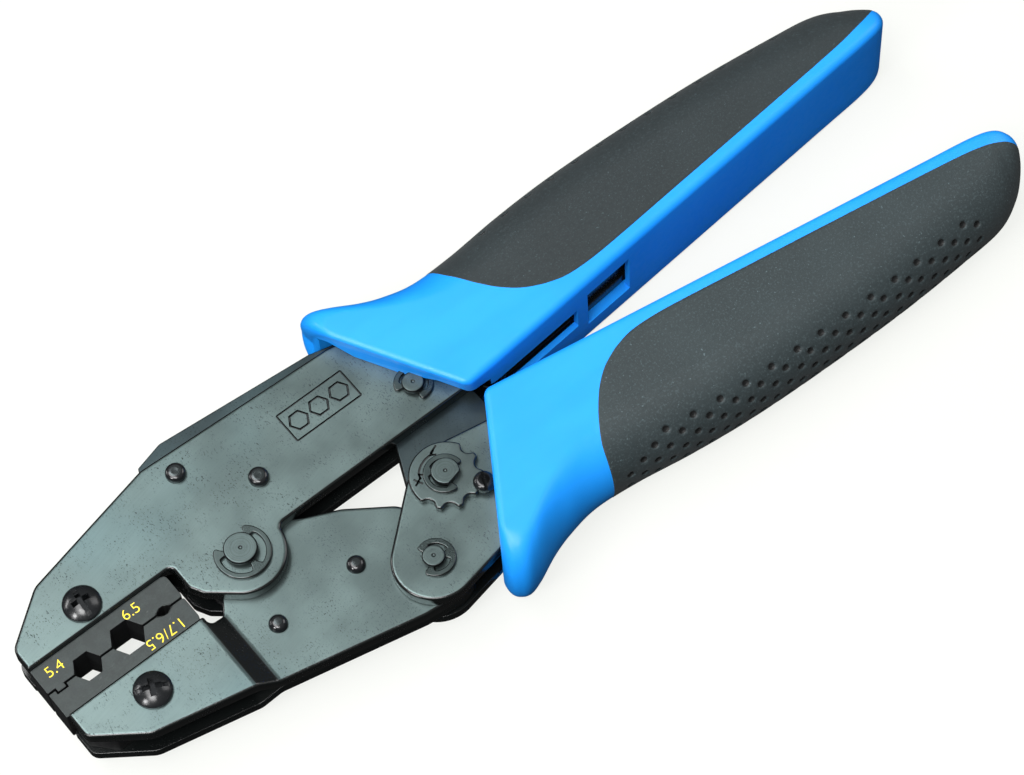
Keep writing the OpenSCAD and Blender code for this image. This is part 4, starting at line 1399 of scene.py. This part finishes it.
@dataclass
class Hardware:
    """Pins, clips, rivets, screws and the adjuster.

    A profile lists radius, level and fillet. stand is how far the pins stand above the plates,
    and play is the clips' room in their grooves.
    """

    at: Layout
    clip: float = 0.8
    stand: float = 1.8
    wheel: float = 7.4
    wheel_thick: float = 1.6
    wheel_pin: float = 2.9
    mark_deep: float = 0.3
    play: float = 0.03
    clip_roll: Tuple[float, float] = (0.26, 0.26)
    clip_ease: float = 0.06

    def build(self, black: bpy.types.Material, clip_steel: bpy.types.Material,
              wheel_steel: bpy.types.Material) -> None:
        """Builds the hardware.

        Args:
            black: finish of screws and rivets.
            clip_steel: finish of the clips.
            wheel_steel: finish of the adjuster wheel.
        """
        at = self.at
        self._rivets(black)
        screw = BlackOxide("screw_oxide", face=(0.006, 0.007, 0.008), roughness=0.22).build()
        for node, body, spot, turn in (("upper_die_screw", Body.FRAME, at.upper_screw, 86),
                                       ("lower_die_screw", Body.JAW, at.lower_screw, -24)):
            dress(self._die_screw(node, *spot, turn), node, body, screw)
        for node, body, spot, r in (("main_pivot_pin", Body.FRAME, at.main_pin, 3.4),
                                    ("link_pin", Body.FRAME, at.link_pin, 2.3),
                                    ("jaw_pin", Body.HANDLE, at.jaw_pin, 2.3)):
            profile = self._both_ends(self._pin_half(r, at.face + self.stand, at.face))
            finish = TurnedSteel(node + "_steel", spot).build()
            dress(shape(node + "_turned", Turning(spot, profile).form()), node, body, finish)
        for node, body, spot, r, outer, way, shift in (
                ("main_pivot_clips", Body.FRAME, at.main_pin, 3.4, 5.8, 95, 0.5),
                ("link_pin_clips", Body.FRAME, at.link_pin, 2.3, 4.05, 213, 0.3),
                ("jaw_pin_clips", Body.HANDLE, at.jaw_pin, 2.3, 4.1, 158, 0.3)):
            ring = self._clip(self._clip_outline(spot, r, outer, way, shift), at.face)
            dress(shape(node + "_sprung", joined([ring, turned_over(ring)])), node, body,
                  clip_steel)
        self._adjuster(screw, clip_steel, wheel_steel)

    def _both_ends(self, half: List[Tuple[float, float, float]]) -> List[Tuple[float, float, float]]:
        """A whole profile from its front half: the half's mirror, then the half."""
        return [(a, -b, c) for a, b, c in half[::-1]] + half

    def _pin_half(self, r: float, top: float, groove: float) -> List[Tuple[float, float, float]]:
        """Profile of a pin's front half: groove, chamfer, and a face with a centre dimple."""
        low, high = groove - self.play, groove + self.clip + self.play
        return [(r, low, 0.0), (r - 0.72, low, 0.0), (r - 0.72, high, 0.0), (r, high, 0.05),
                (r, top, 0.32), (r - 0.4, top, 0.0), (0.42, top, 0.0), (0.0, top - 0.36, 0.0)]

    def _clip(self, outline: np.ndarray, level: float) -> Form:
        """A retaining clip that lies on a level."""
        return Pressing(outline, level, level + self.clip, (), self.clip_roll, self.clip_ease).form()

    def _clip_outline(self, spot: Tuple[float, float], r: float, outer: float, way: float,
                      shift: float) -> np.ndarray:
        """Outline of a retaining clip, in polar form about its pin: outside, a circle set back
        from the pin; inside, a smaller one with three fingers that reach into the groove."""
        tip = math.radians(8)
        ends = tip * (1 - np.cos(np.radians(np.linspace(0, 90, 9))))
        low, high = math.radians(44), math.radians(316)
        a = np.concatenate([low + ends, np.linspace(low + tip, high - tip, 230)[1:-1],
                            high - ends[::-1]])
        back = -shift * np.cos(a)
        swell = (shift * np.sin(a)) ** 2
        rim = back + np.sqrt(outer ** 2 - swell)
        inner = back + np.sqrt((outer - 1.2) ** 2 - swell)
        fingers = np.zeros_like(a)
        for middle in (60, 180, 300):
            off = np.abs(np.degrees(a) - middle) * math.pi / 180 * r
            fingers = np.maximum(fingers, 1 - smooth((off - 0.4) / 0.55))
        inner = inner - (inner - (r - 0.68)) * fingers
        near = np.clip(np.minimum(a - low, high - a) / tip, 0, 1)
        close = np.sqrt(near * (2 - near))
        middle_r = (rim + inner) / 2
        rim, inner = middle_r + (rim - middle_r) * close, middle_r + (inner - middle_r) * close
        turn = a + math.radians(way)
        outside = np.stack([rim * np.cos(turn), rim * np.sin(turn)], -1)
        inside = np.stack([inner * np.cos(turn), inner * np.sin(turn)], -1)
        loop = np.concatenate([outside, inside[-2:0:-1]]) + np.asarray(spot)
        return loop if area(loop) > 0 else loop[::-1]

    def _rivets(self, black: bpy.types.Material) -> None:
        """Builds the frame's flat-topped rivets and the jaw's domed ones."""
        at, face, sheet = self.at, self.at.face, self.at.sheet
        flat_topped = [(1.6, face - 0.3, 0.0), (2.1, face - 0.3, 0.0), (2.1, face + 1.55, 0.95),
                       (0.6, face + 1.62, 0.0), (0.0, face + 1.55, 0.0)]
        domed = [(1.6, sheet - 0.3, 0.0), (1.95, sheet - 0.3, 0.0), (1.95, sheet + 1.35, 1.25),
                 (0.0, sheet + 1.35, 0.0)]
        for node, body, spots, half in (("frame_rivets", Body.FRAME, at.frame_rivets, flat_topped),
                                        ("jaw_rivets", Body.JAW, at.jaw_rivets, domed)):
            form = joined([Turning(spot, self._both_ends(half)).form() for spot in spots])
            dress(shape(node + "_headed", form, sharp=50), node, body, black)

    def _die_screw(self, node: str, x: float, y: float, turn: float) -> bpy.types.Object:
        """Builds a domed screw with a straight slot and a cross recess cut into it."""
        face, r, tall, dome = self.at.face, 3.9, 2.3, 5.6
        a = np.linspace(math.asin(r / dome), 0, 14)
        base = face + tall - dome
        cap = [(dome * math.sin(q), base + dome * math.cos(q), 0.0) for q in a]
        profile = [(0, -face, 0.0), (1.9, -face, 0.2), (1.9, face - 0.2, 0.0), (r, face - 0.2, 0.0),
                   (r, face + 0.25, 0.0)] + [(cap[0][0], cap[0][1], 0.3)] + cap[1:]
        top = face + tall
        cuts = [block((x, y, top + 0.45), (9, 0.95, 3), turn),
                block((x, y, top - 0.4), (3.9, 1.15, 3), turn),
                block((x, y, top - 0.4), (1.15, 3.9, 3), turn)]
        return shape(node + "_headed", Turning((x, y), profile).form(), cuts, 40)

    def _wheel_outline(self) -> np.ndarray:
        """Adjuster wheel in polar form: a circle, less six round notches; a short running
        average along the rim rounds the teeth."""
        places, overlap = 1440, 40
        centre, notch = self.wheel + 0.35, 1.6
        a = np.arange(places) * 2 * math.pi / places
        rim = np.full_like(a, self.wheel)
        for i in range(6):
            off = (a - math.radians(-156 + 34.4 * i) + math.pi) % (2 * math.pi) - math.pi
            cut = notch ** 2 - (centre * np.sin(off)) ** 2
            bowl = centre * np.cos(off) - np.sqrt(np.clip(cut, 0, None))
            rim = np.where((cut > 0) & (np.abs(off) < 1), np.minimum(rim, bowl), rim)
        window = np.hanning(35)
        around = np.concatenate([rim[-overlap:], rim, rim[:overlap]])
        rim = np.convolve(around, window / window.sum(), "same")[overlap:-overlap]
        loop = np.stack([rim * np.cos(a), rim * np.sin(a)], -1)[::3]
        return loop + np.asarray(self.at.adjuster)

    def _wheel_marks(self, level: float) -> List[Form]:
        """Plus and minus marks, and the two-headed arrow between them, as cutting forms."""
        hub, line, first, last = np.asarray(self.at.adjuster), 0.42, 86, 140

        def mark(x: float, y: float, size: Tuple[float, float], turn: float) -> Form:
            """One straight stroke."""
            return block((hub[0] + x, hub[1] + y, level + 0.3), (*size, 1.2), turn)

        cuts = [mark(-5.1, 2.2, (2.1, line), 25), mark(-5.1, 2.2, (line, 2.1), 25),
                mark(1.5, 5.9, (2.1, line), 20)]
        a = np.radians(np.linspace(first, last, 24))
        ray = np.stack([np.cos(a), np.sin(a)], -1)
        band = np.concatenate([5.5 * ray, 5.05 * ray[::-1]]) + hub
        cuts.append(Pressing(band, level - self.mark_deep, level + 0.8, (), (0.02, 0.02), 0.02).form())
        for q, lean in ((first, 150), (first, 210), (last, 20), (last, 80)):
            x, y = 5.27 * math.cos(math.radians(q)), 5.27 * math.sin(math.radians(q))
            turn = q + 90 + lean
            dx, dy = math.cos(math.radians(turn)), math.sin(math.radians(turn))
            cuts.append(mark(x + 0.5 * dx, y + 0.5 * dy, (1.3, line), turn))
        return cuts

    def _adjuster(self, black: bpy.types.Material, clip_steel: bpy.types.Material,
                  wheel_steel: bpy.types.Material) -> None:
        """Builds the adjuster's pin, wheel, clips and lock screw."""
        face, spot, r = self.at.face, self.at.adjuster, self.wheel_pin
        level = face + self.wheel_thick
        wheel = Pressing(self._wheel_outline(), face, level, [(*spot, 2.92)], (0.45, 0.36), 0.1).form()
        marked = dress(shape("adjuster_wheel_cut", wheel, self._wheel_marks(level)),
                       "adjuster_wheel", Body.HANDLE, wheel_steel)
        # Painted shade: the sunk floors of the wheel's marks are painted near black.
        ground = InkAndShadePaint("wheel_mark_shade", (0.010, 0.012, 0.013), 0.4).build()
        shade_sunk_ground(marked, ground, level - self.mark_deep)
        rear = self._pin_half(r, face + self.stand, face)[::-1]
        profile = [(a, -b, c) for a, b, c in rear]
        profile += [(r, -2.9, 0.0), (2.4, -2.9, 0.0), (2.4, 2.9, 0.0), (r, 2.9, 0.0)]
        form = Turning(spot, profile + self._pin_half(r, level + 1.9, level)).form()
        flat_way = -77
        x, y = self._about_adjuster(4.18, flat_way)
        cut = block((x, y, level + self.clip + self.play + 2), (4, 8, 4), flat_way)
        finish = TurnedSteel("adjuster_pin_steel", spot).build()
        dress(shape("adjuster_pin_turned", form, [cut]), "adjuster_pin", Body.HANDLE, finish)
        front = self._clip(self._clip_outline(spot, r, 4.3, -45, 0.2), level)
        back = self._clip(self._clip_outline(spot, r, 4.8, -45, 0.2), face)
        dress(shape("adjuster_clips_sprung", joined([front, turned_over(back)])), "adjuster_clips",
              Body.HANDLE, clip_steel)
        x, y = self._about_adjuster(7.8, -53)
        under, top = level - 0.1, level + 1.6
        head = [(0, 3.1, 0), (1.2, 3.1, 0.1), (1.2, under, 0), (2.2, under, 0), (2.2, top, 1.1),
                (0, top + 0.05, 0)]
        slot_cut = block((x, y, level + 2.3), (6, 0.65, 3), 65)
        dress(shape("adjuster_lock_screw_headed", Turning((x, y), head).form(), [slot_cut], 45),
              "adjuster_lock_screw", Body.HANDLE, black)

    def _about_adjuster(self, reach: float, way: float) -> Tuple[float, float]:
        """Spot at a distance from the adjuster pin's axis, at an angle in degrees."""
        x, y = self.at.adjuster
        a = math.radians(way)
        return x + reach * math.cos(a), y + reach * math.sin(a)


@dataclass
class SteelWork:
    """Every steel piece of the tool."""

    at: Layout = field(default_factory=Layout)

    def build(self) -> None:
        """Builds and dresses the pieces, sub-assembly by sub-assembly."""
        sheet = StampedSteel("blued_sheet").build()
        # A darker copy of the blued steel for the pieces between the plates: painted shade, as they lie
        # in the plates' shadow.
        inner = StampedSteel("inner_steel_shaded", face=(0.055, 0.075, 0.080), shade=(0.035, 0.050, 0.055),
                             brush=60, roughness=0.42).build()
        wheel = StampedSteel("wheel_steel", face=(0.125, 0.165, 0.162), shade=(0.085, 0.112, 0.111),
                             roughness=0.38, pits=0.5).build()
        clip = StampedSteel("clip_steel", face=(0.085, 0.112, 0.110), shade=(0.06, 0.080, 0.079),
                            roughness=0.3, pits=0.3, brush=50).build()
        SidePlates(self.at).build(sheet)
        InnerWork(self.at).build(inner)
        Dies(self.at).build(DieSteel("die_steel").build())
        Hardware(self.at).build(BlackOxide("black_oxide").build(), clip, wheel)
        rod = TurnedSteel("rivet_steel", (0.0, 0.0)).build()
        for node in ("tang_rivets", "handle_rivets", "spring_post", "pawl_pin", "opening_spring",
                     "pawl_spring"):
            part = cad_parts[node]
            part.data.materials.clear()
            part.data.materials.append(rod)


@dataclass
class Numerals:
    """Inked cavity sizes on the dies' front faces."""

    face: float = 4.6
    tall: float = 2.4
    thick: float = 0.012
    marks: Sequence[Tuple[str, str, float, float, float, str]] = (
        ("small_cavity_mark", "5.4", -42.4, 3.6, 0.0, "upper_die"),
        ("large_cavity_mark", "6.5", -24.0, 3.9, 0.0, "upper_die"),
        ("pin_cavity_mark", "1.7/6.5", -21.5, -4.15, 180.0, "lower_die"),
    )

    def build(self) -> None:
        """Builds the marks as thin solid figures that ride with their dies."""
        yellow = InkAndShadePaint("yellow_ink").build()
        for name, text, x, y, turn, die in self.marks:
            curve = bpy.data.curves.new(name, "FONT")
            curve.body = text
            curve.size = self.tall * 1.38 * MM
            curve.align_x, curve.align_y = "CENTER", "CENTER"
            curve.extrude = self.thick * MM
            curve.offset = -0.03 * MM
            flat = bpy.data.objects.new(name + "_flat", curve)
            bpy.context.scene.collection.objects.link(flat)
            graph = bpy.context.evaluated_depsgraph_get()
            mesh = bpy.data.meshes.new_from_object(flat.evaluated_get(graph))
            bpy.data.objects.remove(flat)
            spot = to_frame(np.array([x, y, self.face + self.thick]))
            mesh.transform(Matrix.Translation(Vector(spot)) @ Matrix.Rotation(math.radians(turn), 4, "Z"))
            mark = bpy.data.objects.new(name, mesh)
            bpy.context.scene.collection.objects.link(mark)
            mark.data.materials.clear()
            mark.data.materials.append(yellow)
            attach(mark, Body.FRAME.value if die == "upper_die" else Body.JAW.value)
            log.info("%s: %s", name, text)


# ---------------------------------------------------------------- studio


@dataclass
class Studio:
    """Pale floor, soft lights and the camera."""

    eye: Tuple[float, float, float] = (-0.1920, -0.2809, 0.6604)
    azimuth: float = -124.2968
    elevation: float = 62.4752
    roll: float = -5.0277
    lens: float = 128.37
    lamps: Sequence[Tuple[str, Sequence[float], Sequence[float], Tuple[float, float], float]] = (
        ("overhead", (-0.28, 0.2, 0.95), (-0.05, 0.1, 0.0), (0.85, 0.45), 8.0),
        ("left", (-0.95, -0.15, 0.75), (0.0, 0.0, 0.0), (0.28, 0.28), 6.0),
        ("front", (-0.45, -0.38, 1.1), (0.0, 0.0, 0.0), (0.5, 0.4), 8.5),
        ("rim", (-0.65, 0.85, 0.45), (-0.05, 0.0, 0.0), (0.5, 0.12), 2.5),
        ("right", (0.9, -0.1, 0.8), (0.0, 0.0, 0.0), (0.6, 0.6), 3.0),
    )

    def build(self) -> None:
        """Builds the floor, the world, the lights and the camera."""
        self._floor()
        self._world()
        for lamp in self.lamps:
            self._softbox(*lamp)
        self._camera()

    def _floor(self) -> None:
        """Makes a wide pale floor just under the tool."""
        half, level = 4.0, -2e-4
        corners = np.array([[x * half, y * half, level] for x, y in ((-1, -1), (1, -1), (1, 1), (-1, 1))])
        floor = new_piece("floor", corners, [(0, 1, 2, 3)])
        s = Shader("floor_white")
        s.set(Base_Color=(0.13, 0.13, 0.127, 1), Roughness=0.9, Specular_IOR_Level=0.1,
              Emission_Color=(0.985, 1, 0.965, 1), Emission_Strength=0.81)
        floor.data.materials.append(s.material)
        floor.visible_diffuse = False
        floor.visible_glossy = False

    def _world(self) -> None:
        """Lights the surroundings evenly above the floor and dimly below it."""
        world = bpy.data.worlds.new("studio")
        bpy.context.scene.world = world
        world.use_nodes = True
        tree = world.node_tree
        back = tree.nodes["Background"]
        coord = tree.nodes.new("ShaderNodeTexCoord")
        split = tree.nodes.new("ShaderNodeSeparateXYZ")
        ramp = tree.nodes.new("ShaderNodeMapRange")
        tree.links.new(coord.outputs["Generated"], split.inputs[0])
        tree.links.new(split.outputs["Z"], ramp.inputs["Value"])
        ramp.inputs["From Min"].default_value = -0.1
        ramp.inputs["From Max"].default_value = 0.9
        ramp.inputs["To Min"].default_value = 0.03
        ramp.inputs["To Max"].default_value = 0.36
        tree.links.new(ramp.outputs["Result"], back.inputs["Strength"])
        back.inputs["Color"].default_value = (1.0, 1.0, 1.0, 1)

    def _softbox(self, name: str, place: Sequence[float], target: Sequence[float],
                 size: Tuple[float, float], power: float) -> None:
        """Adds a rectangular area light that faces a target."""
        lamp = bpy.data.lights.new(name, "AREA")
        lamp.shape = "RECTANGLE"
        lamp.size, lamp.size_y = size
        lamp.energy = power
        light = bpy.data.objects.new(name, lamp)
        bpy.context.scene.collection.objects.link(light)
        light.location = place
        way = Vector(target) - Vector(place)
        light.rotation_euler = way.to_track_quat("-Z", "Y").to_euler()

    def _camera(self) -> None:
        """Adds the camera: it looks back along the direction given by azimuth and elevation,
        and is rolled about it."""
        lens = bpy.data.cameras.new("camera")
        lens.lens, lens.sensor_width, lens.sensor_fit = self.lens, 36.0, "HORIZONTAL"
        lens.clip_start, lens.clip_end = 0.05, 20.0
        camera = bpy.data.objects.new("camera", lens)
        bpy.context.scene.collection.objects.link(camera)
        turn = (Matrix.Rotation(math.radians(self.azimuth + 90), 4, "Z")
                @ Matrix.Rotation(math.radians(90 - self.elevation), 4, "X")
                @ Matrix.Rotation(math.radians(self.roll), 4, "Z"))
        camera.matrix_world = Matrix.Translation(Vector(self.eye)) @ turn
        bpy.context.scene.camera = camera


def main() -> None:
    """Builds the tool's looks and the studio."""
    logging.basicConfig(level=logging.INFO, format="%(name)s: %(message)s")
    bpy.context.scene.view_settings.view_transform = "Standard"
    Studio().build()
    SteelWork().build()
    Numerals().build()
    blue = MouldedPlastic("blue_grip_plastic").build()
    # The fixed grip's cover is a darker copy of the moving grip's rubber: painted shade, as less light
    # falls on it.
    covers = (SoftRubber("fixed_soft_cover_shaded", (0.0150, 0.0225, 0.0250)).build(),
              SoftRubber("moving_soft_cover").build())
    at = Layout()
    grips = (
        Grip(Side.UPPER, Body.FRAME, "upper_grip", at.upper_start, at.upper_slope,
             tang=[(-30, -6), (2, -3), (6, 1.3), (79, 1.3), (79, 15.2), (45, 18.4), (14, 22.6),
                   (-4, 29.2), (-30, 36)], lean=3.0),
        Grip(Side.LOWER, Body.HANDLE, "lower_grip", at.lower_start, at.lower_slope,
             tang=[(-40, -6), (26, -3), (27, 4), (79, 5.4), (79, 15.2), (16, 22), (-3, 27),
                   (-40, 40)], way_in=(27.0, 5.5, 7.0)),
    )
    for grip, grey in zip(grips, covers):
        grip.shell(blue)
        grip.cover(grey)


if __name__ == "__main__":
    main()
